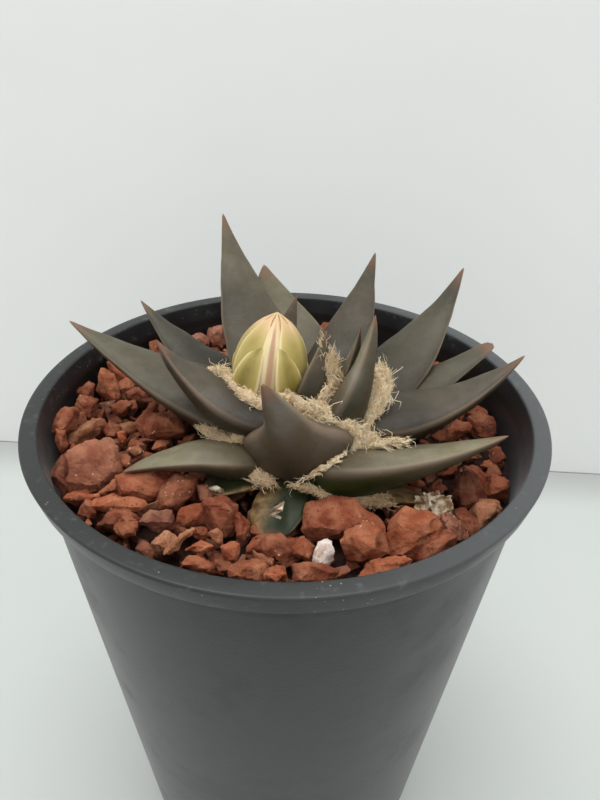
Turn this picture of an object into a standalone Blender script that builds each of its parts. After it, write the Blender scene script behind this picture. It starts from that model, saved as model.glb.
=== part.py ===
"""A potted ariocarpus: a star-shaped plant with a closed bud, in a deep nursery pot with brick chips on top.

Sizes are in millimetres and turned into metres by MM. The pot stands on Z = 0 and its axis is the Z axis.
The side with the horn-like front tubercle faces -Y.
"""

import math
import random

import bmesh
import bpy
from mathutils import Matrix, Vector

MM = 0.001
GAP = 0.35

# Pot
RIM_RADIUS = 52.5
RIM_INNER_RADIUS = 49.1
POT_HEIGHT = 135.0
SKIRT_DEPTH = 4.3
SKIRT_FOOT_RADIUS = 51.2
BODY_TOP_RADIUS = 49.6
BODY_FOOT_RADIUS = 39.1
WALL = 1.5
LIP_DEPTH = 5.0
FLOOR_RECESS = 2.0
FOOT_RING_RADIUS = 34.5
CENTRE_PAD_RADIUS = 8.0
DRAIN_HOLES = 8
DRAIN_HOLE_RADIUS = 3.2
DRAIN_CIRCLE_RADIUS = 24.0
FOOT_NOTCHES = 4
FOOT_NOTCH_SIZE = (12.0, 9.0, 3.0)
POT_STEPS = 48

# Fill
BED_BOTTOM = 118.0
BED_TOP = 123.2
BED_RADIUS = 46.5
CHIP_LEVEL = 125.2
FALL_PER_MM = 0.04

# Plant
PLANT_X = 5.0
PLANT_Y = -6.0
ROOT_RADIUS = 15.0
ROOT_TIP_HEIGHT = 70.0
STEM_STEPS = 20
TUBERCLE_RINGS = 9
TUBERCLE_SIDES = 8

# Tubercles: root, tip, width, thickness, sag, fullness of the outer half
TUBERCLES = {
    "rear_left_tall": ((-1.0, 3.0, 135.0), (-15.0, 29.5, 163.5), 17.5, 9.0, 3.5, 1.0),
    "rear_left_wide": ((7.5, 5.0, 132.0), (-6.0, 29.0, 152.0), 19.0, 8.0, 3.0, 1.35),
    "rear_small": ((-3.0, 0.0, 138.0), (1.5, 6.5, 154.5), 8.0, 4.5, 1.0, 1.0),
    "rear_right": ((7.5, 3.0, 135.0), (18.5, 22.0, 158.0), 13.5, 8.0, 3.0, 1.0),
    "right_tall": ((14.0, 2.0, 133.0), (39.0, 24.5, 154.0), 17.0, 9.0, 5.0, 1.0),
    "right_rear_low": ((16.0, 0.0, 130.0), (45.0, 13.0, 141.0), 13.0, 7.5, 1.0, 1.1),
    "right_long": ((12.0, -7.0, 135.0), (46.0, -3.0, 147.0), 15.5, 9.5, 4.2, 1.0),
    "right_front": ((1.5, -17.5, 131.0), (41.0, -16.5, 137.5), 18.0, 9.5, 1.6, 1.0),
    "inner_right": ((8.0, -12.0, 137.0), (15.5, -7.0, 157.0), 11.5, 7.0, 1.0, 1.0),
    "inner_scale": ((8.5, -6.0, 137.0), (13.0, -7.5, 155.0), 5.0, 3.0, 0.5, 1.0),
    "inner_middle": ((3.5, -8.0, 138.0), (6.5, -5.0, 151.0), 7.0, 4.5, 0.5, 1.0),
    "front_horn": ((4.0, -13.0, 133.0), (-4.0, -25.0, 153.0), 21.5, 10.0, 4.0, 0.82),
    "left_inner": ((-2.0, -8.0, 137.0), (-24.0, -7.5, 151.0), 17.5, 9.5, 3.0, 1.0),
    "left_long": ((-6.0, -3.0, 133.0), (-45.5, 8.5, 147.0), 18.5, 10.0, 2.0, 1.0),
    "left_rear": ((-8.0, 4.5, 131.0), (-34.0, 23.5, 145.0), 14.0, 8.0, 2.2, 1.0),
    "left_front": ((-3.0, -15.0, 130.0), (-30.5, -19.5, 130.0), 14.0, 7.0, -2.5, 1.0),
    "old_front": ((2.0, -17.0, 126.5), (-3.5, -30.5, 124.5), 10.5, 9.0, -1.0, 2.6),
    "old_left": ((-2.0, -14.0, 126.5), (-15.5, -20.5, 126.5), 10.0, 5.0, -0.5, 1.6),
    "old_right": ((8.0, -15.0, 125.5), (28.5, -21.5, 126.0), 9.0, 4.5, 0.5, 1.4),
}

# Half-width and thickness along a tubercle, as shares of the greatest, from root to tip
WIDTH_PROFILE = [(0, 0.82), (0.1, 0.96), (0.2, 1), (0.4, 0.83), (0.6, 0.57), (0.8, 0.29), (0.93, 0.1), (1, 0)]
DEPTH_PROFILE = [(0, 0.9), (0.1, 1), (0.2, 1), (0.4, 0.8), (0.6, 0.56), (0.8, 0.3), (0.93, 0.11), (1, 0)]

# Bud
BUD_FOOT = Vector((-3.5, -5.0, 136.5))
BUD_TIP = Vector((-3.0, -0.5, 154.0))
BUD_RADIUS = 7.4
BUD_SIDES = 12
BUD_RINGS = 8
TEPALS = 8
TEPAL_ROWS = 5
TEPAL_THICKNESS = 1.6
BUD_CLEARANCE = 0.8
BUD_PROFILE = [(0, 0), (0.02, 0.6), (0.12, 0.86), (0.3, 1), (0.48, 0.97), (0.66, 0.78), (0.82, 0.48), (1, 0)]

# Wool tufts, each of lumpy balls: centre and half-sizes
WOOL = {
    "wool_collar": [((-4.5, -10.0, 140.0), (5.6, 3.4, 2.8)), ((-10.5, -5.0, 140.0), (4.4, 4.6, 3.0))],
    "wool_crown": [((8.6, -6.2, 141.5), (3.4, 3.2, 6.0)), ((6.5, -11.5, 138.4), (5.0, 3.2, 2.6))],
    "wool_right": [((17.2, -8.6, 139.6), (3.6, 3.6, 5.0)), ((16.2, -11.8, 136.0), (4.2, 3.4, 3.0))],
    "wool_right_front": [((14.0, -14.6, 133.4), (5.2, 2.8, 2.4))],
    "wool_left_front": [((-10.8, -12.4, 131.8), (4.6, 3.4, 2.8))],
    "wool_foot": [((-3.6, -18.2, 127.0), (6.6, 3.8, 2.6)), ((4.6, -18.4, 126.8), (5.0, 3.0, 2.4))],
}
WOOL_LUMPS = 0.25

# The large chips: place, rise above the common level, length, width, turn in degrees as seen from the front.
# The front is seen from this point.
VIEWPOINT = Vector((0.0, -111.5, 207.0))
LARGE_CHIPS = [
    (-41.5, 14.0, 0.5, 8.0, 4.5, -75),
    (-40.0, 19.5, 1.5, 6.5, 4.5, -55),
    (-37.5, 15.5, 0.0, 5.0, 3.5, 10),
    (-34.0, 13.5, -1.0, 5.5, 4.0, 10),
    (-37.5, 8.0, -1.0, 4.5, 3.5, 10),
    (-30.5, 4.5, 0.5, 7.5, 2.0, 45),
    (-44.5, 9.0, 2.0, 4.0, 4.0, 80),
    (-44.0, 5.0, 0.5, 5.0, 4.5, -85),
    (-45.0, -5.5, 4.0, 6.5, 4.0, 55),
    (-42.0, -4.5, 1.0, 9.0, 3.5, 25),
    (-45.0, -9.0, 2.5, 4.5, 2.5, 90),
    (-37.5, -17.0, 2.0, 11.5, 9.5, -15),
    (-41.5, -20.0, 2.5, 7.5, 3.0, 90),
    (-36.5, -7.5, 0.5, 4.0, 3.0, 10),
    (-37.0, -2.5, 0.0, 4.0, 3.5, -50),
    (-34.0, 0.5, -1.0, 6.0, 2.5, 0),
    (-34.0, -5.5, 0.5, 3.5, 2.0, 70),
    (-26.0, 0.0, 0.5, 10.5, 6.5, 0),
    (-30.5, -9.5, 0.5, 3.0, 2.0, -25),
    (-32.0, -13.5, 0.5, 3.5, 3.0, 30),
    (-26.0, -19.5, 0.5, 12.0, 6.5, -5),
    (-37.0, -24.0, 1.0, 6.5, 2.0, -15),
    (-33.0, -21.5, 1.0, 4.0, 2.0, 25),
    (-30.0, -25.5, 1.0, 9.5, 3.0, -15),
    (-35.5, -26.5, 0.5, 4.0, 3.0, -40),
    (-29.5, -28.5, 0.0, 7.0, 4.0, -10),
    (-27.5, -31.0, 1.0, 4.0, 3.5, -30),
    (-22.5, -29.0, 1.0, 6.0, 3.5, -10),
    (-20.5, -33.5, 0.0, 4.5, 3.5, 15),
    (-18.5, -35.0, 1.5, 7.0, 1.5, 35),
    (-16.5, -27.5, 1.0, 6.0, 3.5, 15),
    (-20.5, -22.0, 1.0, 8.0, 4.5, 35),
    (-18.0, -20.0, 1.0, 4.5, 3.0, 90),
    (-15.0, -22.0, 1.5, 4.0, 2.5, -75),
    (-12.0, -27.5, 1.5, 7.5, 5.5, -70),
    (-8.0, -29.5, 0.5, 4.5, 3.0, -75),
    (-15.0, -31.0, 0.5, 3.5, 2.0, -20),
    (-14.5, -35.0, 1.0, 4.5, 2.0, -5),
    (-12.0, -31.5, 0.0, 3.5, 2.0, -55),
    (-9.0, -36.0, 1.5, 3.5, 3.0, 25),
    (-14.5, -38.5, 1.0, 5.0, 2.0, -20),
    (-10.5, -38.5, 0.5, 4.5, 2.0, -10),
    (-6.0, -40.0, 1.0, 7.0, 4.0, -5),
    (-1.5, -40.5, 1.0, 4.0, 3.5, 5),
    (-5.0, -33.5, 0.5, 4.0, 3.0, 80),
    (-1.0, -34.5, 0.5, 7.0, 4.5, -30),
    (-3.5, -37.0, 1.0, 4.0, 1.5, -35),
    (3.0, -35.5, 1.5, 4.5, 3.5, -70),
    (6.0, -33.0, 0.0, 2.0, 1.5, 45),
    (5.0, -40.5, 1.5, 7.0, 3.5, 5),
    (9.0, -28.0, 2.0, 12.5, 6.5, 5),
    (13.0, -34.0, 2.0, 8.5, 6.0, 35),
    (16.5, -27.5, 1.0, 3.0, 2.0, -25),
    (16.5, -38.0, 1.0, 8.0, 3.5, 25),
    (21.5, -31.0, 2.0, 9.5, 7.0, 50),
    (26.0, -32.5, 0.5, 8.5, 4.5, 45),
    (30.0, -28.0, 1.0, 6.0, 3.5, -45),
    (33.0, -26.0, 0.0, 6.0, 3.5, -50),
    (37.5, -22.5, 0.0, 7.0, 4.5, 70),
    (35.0, -17.5, 1.0, 7.5, 7.0, -35),
    (38.0, -13.0, 0.5, 5.5, 4.0, -30),
    (41.5, -8.0, 0.0, 3.0, 2.0, 30),
    (41.0, -16.5, 1.5, 6.0, 4.5, 55),
    (44.0, -6.0, 0.0, 4.5, 4.0, 80),
    (43.5, 5.0, 0.5, 6.5, 5.5, -45),
    (43.5, 9.0, 1.0, 5.0, 4.0, -25),
    (36.5, 3.5, -0.5, 8.0, 4.0, 40),
    (29.0, -17.5, 1.0, 3.0, 2.5, 35),
    (-19.5, 40.5, 0.0, 7.5, 5.0, 80),
    (-23.5, 37.5, 0.0, 5.5, 5.0, -10),
    (9.5, 44.0, 2.0, 6.0, 3.5, 55),
    (35.5, 27.0, 1.5, 6.5, 5.0, 15),
    (39.0, 22.5, 2.0, 6.0, 4.5, -85),
    (-33.0, 31.0, 1.5, 4.5, 4.0, -75),
]
PALE_CHIP = (6.5, -37.0, 2.4, 6.2, 3.8, 75)
HUSK = (27.0, -24.0, 2.6, 6.2, 3.6, -5)
CHIP_SEED = 5
CHIP_UNEVEN = 0.28
MOST_CHIP_DEPTH = 3.0
FOOT_REACH = 0.2
FOOT_SINK = 0.8
FILLER_SEED = 11
FILLER_SPACING = 6.9
FILLER_SHIFT = 1.0
FILLER_CORNERS = 7
FILLER_SIZES = (2.6, 4.2)
FILLER_RISE = (-1.9, -0.3)
FILLER_REACH = 44.5
CROWDED = 3.5
TOO_CLOSE = 1.5


def clear_scene():
    for thing in list(bpy.data.objects):
        bpy.data.objects.remove(thing, do_unlink=True)


def new_collection(name, hidden=False):
    made = bpy.data.collections.new(name)
    bpy.context.scene.collection.children.link(made)
    made.hide_render = hidden
    return made


def new_material(name, colour, roughness):
    made = bpy.data.materials.new(name)
    made.use_nodes = True
    shader = made.node_tree.nodes["Principled BSDF"]
    shader.inputs["Base Color"].default_value = (*colour, 1.0)
    shader.inputs["Roughness"].default_value = roughness
    made.diffuse_color = (*colour, 1.0)
    return made


def new_object(name, shape, home, look=None):
    """Makes an object of a bmesh that is in millimetres."""
    bmesh.ops.scale(shape, vec=(MM, MM, MM), verts=shape.verts)
    bmesh.ops.recalc_face_normals(shape, faces=shape.faces)
    mesh = bpy.data.meshes.new(name)
    shape.to_mesh(mesh)
    shape.free()
    made = bpy.data.objects.new(name, mesh)
    home.objects.link(made)
    if look:
        mesh.materials.append(look)
    if home.hide_render:
        made.hide_render = True
        made.display_type = "WIRE"
    return made


def turned(name, profile, home, look=None, steps=POT_STEPS, place=(0.0, 0.0)):
    """Turns a (radius, height) profile, which runs down its outer side, about a vertical axis."""
    shape = bmesh.new()
    points = [shape.verts.new((radius, 0.0, height)) for radius, height in profile]
    for upper, lower in zip(points, points[1:]):
        shape.edges.new((upper, lower))
    made = new_object(name, shape, home, look)
    made.location = (place[0] * MM, place[1] * MM, 0.0)
    screw = made.modifiers.new("Turn", "SCREW")
    screw.steps = steps
    screw.render_steps = steps
    screw.use_merge_vertices = True
    screw.merge_threshold = 0.00001
    return made


def baked(thing):
    """Replaces an object's mesh by what its modifiers make of it."""
    bpy.context.view_layer.update()
    graph = bpy.context.evaluated_depsgraph_get()
    mesh = bpy.data.meshes.new_from_object(thing.evaluated_get(graph))
    thing.modifiers.clear()
    thing.data = mesh
    return thing


def boolean(target, operation, group):
    """One Boolean with every object of a collection. Hundreds of crossing solids are too slow for EXACT."""
    step = target.modifiers.new(operation.title(), "BOOLEAN")
    step.operation = operation
    step.operand_type = "COLLECTION"
    step.collection = group
    step.solver = "EXACT" if len(group.objects) <= DRAIN_HOLES + FOOT_NOTCHES else "MANIFOLD"


def fuse(target, group):
    boolean(target, "UNION", group)
    baked(target)
    empty(group)


def empty(group):
    for thing in list(group.objects):
        bpy.data.objects.remove(thing, do_unlink=True)


def linked_verts(start):
    reached = [start]
    seen = {start}
    for vert in reached:
        for edge in vert.link_edges:
            other = edge.other_vert(vert)
            if other not in seen:
                seen.add(other)
                reached.append(other)
    return reached


def volume(verts):
    total = 0.0
    for face in {face for vert in verts for face in vert.link_faces}:
        first = face.verts[0].co
        for second, third in zip(face.verts[1:-1], face.verts[2:]):
            total += first.dot(second.co.cross(third.co)) / 6
    return total


def drop_scraps(target):
    """Keeps the body with the largest volume."""
    shape = bmesh.new()
    shape.from_mesh(target.data)
    bodies = []
    seen = set()
    for vert in shape.verts:
        if vert not in seen:
            bodies.append(linked_verts(vert))
            seen.update(bodies[-1])
    bodies.sort(key=volume, reverse=True)
    spare = [vert for body in bodies[1:] for vert in body]
    bmesh.ops.delete(shape, geom=spare, context="VERTS")
    shape.to_mesh(target.data)
    shape.free()


def blend(table, at):
    """Reads a table of (place, value) pairs."""
    for (start, low), (end, high) in zip(table, table[1:]):
        if at <= end:
            return low + (high - low) * (at - start) / (end - start)
    return table[-1][1]


def wall_radius(height):
    """The pot's inner wall: a short lip above a long taper."""
    below = POT_HEIGHT - height
    if below < LIP_DEPTH:
        return RIM_INNER_RADIUS - below / LIP_DEPTH
    slope = (BODY_TOP_RADIUS - BODY_FOOT_RADIUS) / (POT_HEIGHT - SKIRT_DEPTH)
    return RIM_INNER_RADIUS - 1.0 - slope * (below - LIP_DEPTH)


def pot_profile():
    """From the middle of the floor up the inner wall, over the rim and down outside to the centre pad."""
    floor = FLOOR_RECESS + WALL
    skirt_foot = POT_HEIGHT - SKIRT_DEPTH
    return [
        (0.0, floor),
        (BODY_FOOT_RADIUS - WALL - 1.0, floor),
        (BODY_FOOT_RADIUS - WALL, floor + 1.5),
        (wall_radius(POT_HEIGHT - LIP_DEPTH), POT_HEIGHT - LIP_DEPTH),
        (RIM_INNER_RADIUS, POT_HEIGHT - 0.4),
        (RIM_INNER_RADIUS + 0.4, POT_HEIGHT),
        (RIM_RADIUS - 0.5, POT_HEIGHT),
        (RIM_RADIUS, POT_HEIGHT - 0.5),
        (SKIRT_FOOT_RADIUS, skirt_foot),
        (BODY_TOP_RADIUS, skirt_foot + 0.5),
        (BODY_FOOT_RADIUS, 2.5),
        (BODY_FOOT_RADIUS - 0.9, 0.0),
        (FOOT_RING_RADIUS, 0.0),
        (FOOT_RING_RADIUS - 0.6, FLOOR_RECESS),
        (CENTRE_PAD_RADIUS + 0.6, FLOOR_RECESS),
        (CENTRE_PAD_RADIUS, 0.0),
        (0.0, 0.0),
    ]


def build_pot(home, look):
    pot = turned("pot", pot_profile(), home, look)
    cutters = new_collection("pot_cutters", hidden=True)
    for i in range(DRAIN_HOLES):
        turn = 2 * math.pi * (i + 0.5) / DRAIN_HOLES
        place = Vector((math.cos(turn), math.sin(turn), 0.0)) * DRAIN_CIRCLE_RADIUS
        hole = bmesh.new()
        bmesh.ops.create_cone(
            hole,
            cap_ends=True,
            segments=12,
            radius1=DRAIN_HOLE_RADIUS,
            radius2=DRAIN_HOLE_RADIUS,
            depth=6 * WALL,
            matrix=Matrix.Translation(place + Vector((0.0, 0.0, FLOOR_RECESS + WALL / 2))),
        )
        new_object("drain_cutter", hole, cutters)
    for i in range(FOOT_NOTCHES):
        turn = Matrix.Rotation(2 * math.pi * i / FOOT_NOTCHES, 4, "Z")
        along = Matrix.Translation((FOOT_RING_RADIUS + 3.0, 0.0, 0.1))
        notch = bmesh.new()
        bmesh.ops.create_cube(notch, matrix=turn @ along @ Matrix.Diagonal((*FOOT_NOTCH_SIZE, 1.0)))
        new_object("notch_cutter", notch, cutters)
    boolean(pot, "DIFFERENCE", cutters)


def stem_profile(grow=0.0):
    """The short stem and the taproot below it, from the growing point down."""
    return [
        (0.0, 139.0 + grow),
        (7.0 + grow, 137.6 + grow),
        (13.0 + grow, 133.0),
        (16.5 + grow, 127.0),
        (ROOT_RADIUS + grow, 119.0),
        (ROOT_RADIUS - 3.5 + grow, 104.0),
        (5.5 + grow, 82.0),
        (1.6 + grow, ROOT_TIP_HEIGHT + 2.0),
        (0.0, ROOT_TIP_HEIGHT - grow),
    ]


def stem(name, home, look=None, grow=0.0):
    return turned(name, stem_profile(grow), home, look, STEM_STEPS, (PLANT_X, PLANT_Y))


def tubercle(spec, grow=0.0):
    """Lofts one pointed tubercle of three-sided section: a shallow dome above and a rounded keel below."""
    root, tip, width, depth, sag, fullness = spec
    root, tip = Vector(root), Vector(tip)
    middle = (root + tip) / 2
    inward = Vector((PLANT_X - middle.x, PLANT_Y - middle.y, 0.0)).normalized()
    lean = inward + Vector((0.0, 0.0, 1.0))
    along = (tip - root).normalized()
    bend = middle - (lean - lean.dot(along) * along).normalized() * 2 * sag
    shape = bmesh.new()
    rings = []
    for i in range(TUBERCLE_RINGS):
        at = i / TUBERCLE_RINGS
        at = at * (1.25 - 0.25 * at)
        forward = ((1 - at) * (bend - root) + at * (tip - bend)).normalized()
        centre = (1 - at) ** 2 * root + 2 * at * (1 - at) * bend + at**2 * tip
        if i == 0:
            centre -= forward * grow
        up = (lean - lean.dot(forward) * forward).normalized()
        side = forward.cross(up)
        half = width / 2 * blend(WIDTH_PROFILE, at) ** (1 / fullness) + grow
        deep = depth * blend(DEPTH_PROFILE, at) ** (1 / fullness)
        ring = []
        for k in range(TUBERCLE_SIDES):
            turn = 2 * math.pi * k / TUBERCLE_SIDES
            across, over = math.cos(turn), math.sin(turn)
            if over > 0:
                lift = over * (0.22 * deep + grow)
            else:
                lift = over * (0.78 * deep + grow) * (1 - 0.25 * across**2)
                across *= 1 + 0.18 * over
            ring.append(shape.verts.new(centre + side * across * half + up * lift))
        rings.append(ring)
    point = shape.verts.new(tip + (tip - bend).normalized() * 2 * grow)
    shape.faces.new(rings[0])
    for near, far in zip(rings, rings[1:] + [[point] * TUBERCLE_SIDES]):
        for k in range(TUBERCLE_SIDES):
            j = (k + 1) % TUBERCLE_SIDES
            corners = [near[k], near[j], far[j], far[k]]
            shape.faces.new(corners if far[j] != far[k] else corners[:3])
    return shape


def build_plant(home, look, repeats):
    """Stem, taproot and every tubercle are one living piece."""
    plant = baked(stem("plant_body", home, look))
    for name, spec in TUBERCLES.items():
        new_object(name, tubercle(spec), repeats)
    fuse(plant, repeats)
    drop_scraps(plant)


def bud_frame():
    """The bud's length and its own three axes."""
    along = BUD_TIP - BUD_FOOT
    side = along.cross(Vector((0.0, 1.0, 0.0))).normalized()
    return along.length, along.normalized(), side, along.normalized().cross(side)


def bud_point(at, turn, lift=0.0):
    """A point over the bud's surface at a share of its length and a turn about its axis."""
    length, along, side, other = bud_frame()
    radius = BUD_RADIUS * blend(BUD_PROFILE, at) + lift
    return BUD_FOOT + along * length * at + (side * math.cos(turn) + other * math.sin(turn)) * radius


def bud_core(grow=0.0):
    """An egg with a pointed top, shaped from a sphere."""
    shape = bmesh.new()
    bmesh.ops.create_uvsphere(shape, u_segments=BUD_SIDES, v_segments=BUD_RINGS, radius=1.0)
    along = bud_frame()[1]
    for vert in shape.verts:
        at = (vert.co.z + 1) / 2
        turn = math.atan2(vert.co.y, vert.co.x)
        on_axis = math.hypot(vert.co.x, vert.co.y) < 0.01
        vert.co = bud_point(at, turn, 0.0 if on_axis else grow) + along * grow * vert.co.z
    return shape


def tepal(number):
    """A pointed blade that hugs the bud. Every second one is an outer, shorter one."""
    outer = number % 2 == 0
    reach = 0.8 if outer else 0.98
    lift = 0.75 if outer else 0.4
    middle = 2 * math.pi * (number + 0.25) / TEPALS
    shape = bmesh.new()
    front, back = [], []
    for i in range(TEPAL_ROWS + 1):
        share = i / TEPAL_ROWS
        at = 0.05 + (reach - 0.05) * share
        half = 0.44 * (1 - share**2.2) + 0.03
        for k in (-1, 0, 1):
            turn = middle + half * k
            edge = 0.5 if k else 1.0
            front.append(shape.verts.new(bud_point(at, turn, lift * edge * (1 - 0.6 * share))))
            back.append(shape.verts.new(bud_point(at, turn, -TEPAL_THICKNESS * (1 - 0.9 * share))))
    for row in range(TEPAL_ROWS):
        for k in range(2):
            i = 3 * row + k
            shape.faces.new((front[i], front[i + 1], front[i + 4], front[i + 3]))
            shape.faces.new((back[i], back[i + 3], back[i + 4], back[i + 1]))
        for i in (3 * row, 3 * row + 2):
            shape.faces.new((front[i], front[i + 3], back[i + 3], back[i]))
    for start in (0, 3 * TEPAL_ROWS):
        for i in (start, start + 1):
            shape.faces.new((front[i], back[i], back[i + 1], front[i + 1]))
    return shape


def build_bud(home, look, repeats, clearances):
    bud = new_object("flower_bud", bud_core(), home, look)
    for number in range(TEPALS):
        new_object("tepal", tepal(number), repeats)
    fuse(bud, repeats)
    boolean(bud, "DIFFERENCE", clearances)
    drop_scraps(baked(bud))
    new_object("bud_clearance", bud_core(GAP + BUD_CLEARANCE), clearances)


def wool_ball(centre, halves, seed, grow=0.0):
    shape = bmesh.new()
    bmesh.ops.create_icosphere(shape, subdivisions=2, radius=1.0)
    draw = random.Random(seed)
    for vert in shape.verts:
        swell = 1 + WOOL_LUMPS * (draw.random() - 0.5)
        reach = Vector([half * swell + grow for half in halves])
        vert.co = vert.co * reach + Vector(centre)
    return shape


def build_wool(home, look, repeats, clearances):
    """Each tuft is cut clear of the plant, the bud and the tufts before it."""
    for number, (name, balls) in enumerate(WOOL.items()):
        tuft = new_object(name, wool_ball(*balls[0], seed=10 * number), home, look)
        for index, ball in enumerate(balls[1:], start=1):
            new_object("more_wool", wool_ball(*ball, seed=10 * number + index), repeats)
        if len(balls) > 1:
            fuse(tuft, repeats)
        boolean(tuft, "DIFFERENCE", clearances)
        drop_scraps(baked(tuft))
        for index, ball in enumerate(balls):
            grown = wool_ball(*ball, seed=10 * number + index, grow=GAP)
            new_object("wool_clearance", grown, clearances)


def build_mix(home, look):
    """The mix fills the pot below the chips, with a plain hole for the taproot."""
    top = BED_BOTTOM - GAP
    floor = FLOOR_RECESS + WALL + GAP
    profile = [
        (0.0, top),
        (wall_radius(top) - GAP, top),
        (BODY_FOOT_RADIUS - WALL - GAP, floor + 1.5),
        (BODY_FOOT_RADIUS - WALL - 1.0 - GAP, floor),
        (0.0, floor),
    ]
    mix = turned("potting_mix", profile, home, look)
    hole = new_collection("mix_cutters", hidden=True)
    stem("root_clearance", hole, grow=GAP)
    boolean(mix, "DIFFERENCE", hole)


def surface_height(level, x):
    """The chips and the fines below them fall a little towards +X."""
    return level - FALL_PER_MM * x


def hulled(points):
    shape = bmesh.new()
    for point in points:
        shape.verts.new(point)
    bmesh.ops.convex_hull(shape, input=shape.verts)
    spare = [vert for vert in shape.verts if not vert.link_faces]
    bmesh.ops.delete(shape, geom=spare, context="VERTS")
    return shape


def chip(spec, seed, grow=0.0, footed=False):
    """An angular stone: an uneven outline that faces the viewpoint, with smaller faces on both sides."""
    x, y, rise, length, width, turn = spec
    centre = Vector((x, y, surface_height(CHIP_LEVEL, x) + rise))
    away = (centre - VIEWPOINT).normalized()
    right = away.cross(Vector((0.0, 0.0, 1.0))).normalized()
    up = right.cross(away)
    turned_by = Matrix.Rotation(math.radians(turn), 3, -away)
    right, up = turned_by @ right, turned_by @ up
    depth = min(width / 2, MOST_CHIP_DEPTH)
    draw = random.Random(seed)
    corners = 7 if length > 6 else 5
    points = []
    for k in range(corners):
        angle = 2 * math.pi * (k + draw.uniform(-CHIP_UNEVEN, CHIP_UNEVEN)) / corners
        reach = draw.uniform(0.92, 1.12)
        across = right * math.cos(angle) * (length / 2 * reach + grow)
        over = up * math.sin(angle) * (width / 2 * reach + grow)
        points.append(centre + across + over)
        share = draw.uniform(0.45, 0.65)
        side = 1 if k % 2 else -1
        inset = away * side * (depth * draw.uniform(0.8, 1.1) + grow)
        points.append(centre + (across + over) * share + inset)
    if footed:
        reach = FOOT_REACH * length
        for k in range(3):
            angle = 2 * math.pi * k / 3
            foot = Vector((x + reach * math.cos(angle), y + reach * math.sin(angle), 0.0))
            foot.z = surface_height(BED_TOP, x) - FOOT_SINK
            points.append(foot)
    return hulled(points)


def filler_points():
    """Seeded small chips on a loose grid wherever no large one lies, lower where it's crowded."""
    draw = random.Random(FILLER_SEED)
    count = int(2 * RIM_RADIUS / FILLER_SPACING) + 2
    for i in range(count):
        for j in range(count):
            x = (i - count / 2 + 0.5 * (j % 2)) * FILLER_SPACING + draw.uniform(-FILLER_SHIFT, FILLER_SHIFT)
            y = (j - count / 2) * FILLER_SPACING * 0.9 + draw.uniform(-FILLER_SHIFT, FILLER_SHIFT)
            size = draw.uniform(*FILLER_SIZES)
            rise = draw.uniform(*FILLER_RISE)
            corners = [Vector([draw.gauss(0, 1) for _ in range(3)]) for _ in range(FILLER_CORNERS)]
            near = min([math.hypot(x - spec[0], y - spec[1]) - 0.3 * spec[3] for spec in LARGE_CHIPS])
            from_plant = math.hypot(x - PLANT_X, y - PLANT_Y)
            if math.hypot(x, y) > FILLER_REACH or from_plant < ROOT_RADIUS or near < TOO_CLOSE:
                continue
            if near < CROWDED:
                rise -= FILLER_SHIFT
            centre = Vector((x, y, surface_height(CHIP_LEVEL, x) + rise))
            yield [centre + corner.normalized() * size * Vector((1.0, 1.0, 0.75)) for corner in corners]


def well_profile():
    """The room inside the pot for the chips."""
    lip = POT_HEIGHT - LIP_DEPTH
    return [
        (0.0, POT_HEIGHT),
        (wall_radius(POT_HEIGHT) - GAP, POT_HEIGHT),
        (wall_radius(lip) - GAP, lip),
        (wall_radius(BED_BOTTOM) - GAP, BED_BOTTOM),
        (0.0, BED_BOTTOM),
    ]


def build_gravel(home, looks, repeats, clearances):
    """Large and small chips fused with the bed that they lie in."""
    bed = [(0.0, BED_TOP), (BED_RADIUS, BED_TOP), (BED_RADIUS, BED_BOTTOM - 1.0), (0.0, BED_BOTTOM - 1.0)]
    gravel = baked(turned("brick_gravel", bed, home, looks["brick"]))
    for vert in gravel.data.vertices:
        if vert.co.z > BED_BOTTOM * MM:
            vert.co.z = surface_height(BED_TOP, vert.co.x / MM) * MM
    for number, spec in enumerate(LARGE_CHIPS):
        new_object("chip", chip(spec, CHIP_SEED + number, footed=True), repeats)
    for points in filler_points():
        new_object("filler", hulled(points), repeats)
    fuse(gravel, repeats)
    turned("well", well_profile(), repeats)
    boolean(gravel, "INTERSECT", repeats)
    baked(gravel)
    empty(repeats)
    new_object("pale_chip", chip(PALE_CHIP, CHIP_SEED), home, looks["pale"])
    husk = new_object("dry_husk", chip(HUSK, CHIP_SEED), home, looks["husk"])
    boolean(husk, "DIFFERENCE", clearances)
    drop_scraps(baked(husk))
    new_object("pale_clearance", chip(PALE_CHIP, CHIP_SEED, grow=GAP), clearances)
    new_object("husk_clearance", chip(HUSK, CHIP_SEED, grow=GAP), clearances)
    boolean(gravel, "DIFFERENCE", clearances)
    drop_scraps(baked(gravel))


def materials():
    return {
        "plastic": new_material("black_plastic", (0.035, 0.038, 0.042), 0.55),
        "mix": new_material("growing_mix", (0.09, 0.065, 0.05), 0.95),
        "brick": new_material("crushed_brick", (0.33, 0.11, 0.07), 0.9),
        "pale": new_material("pale_stone", (0.72, 0.66, 0.6), 0.85),
        "skin": new_material("tubercle_skin", (0.17, 0.18, 0.13), 0.6),
        "bud": new_material("bud_tepals", (0.55, 0.56, 0.3), 0.55),
        "wool": new_material("areole_wool", (0.68, 0.58, 0.42), 0.95),
        "husk": new_material("dry_husk", (0.66, 0.58, 0.44), 0.85),
    }


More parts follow.
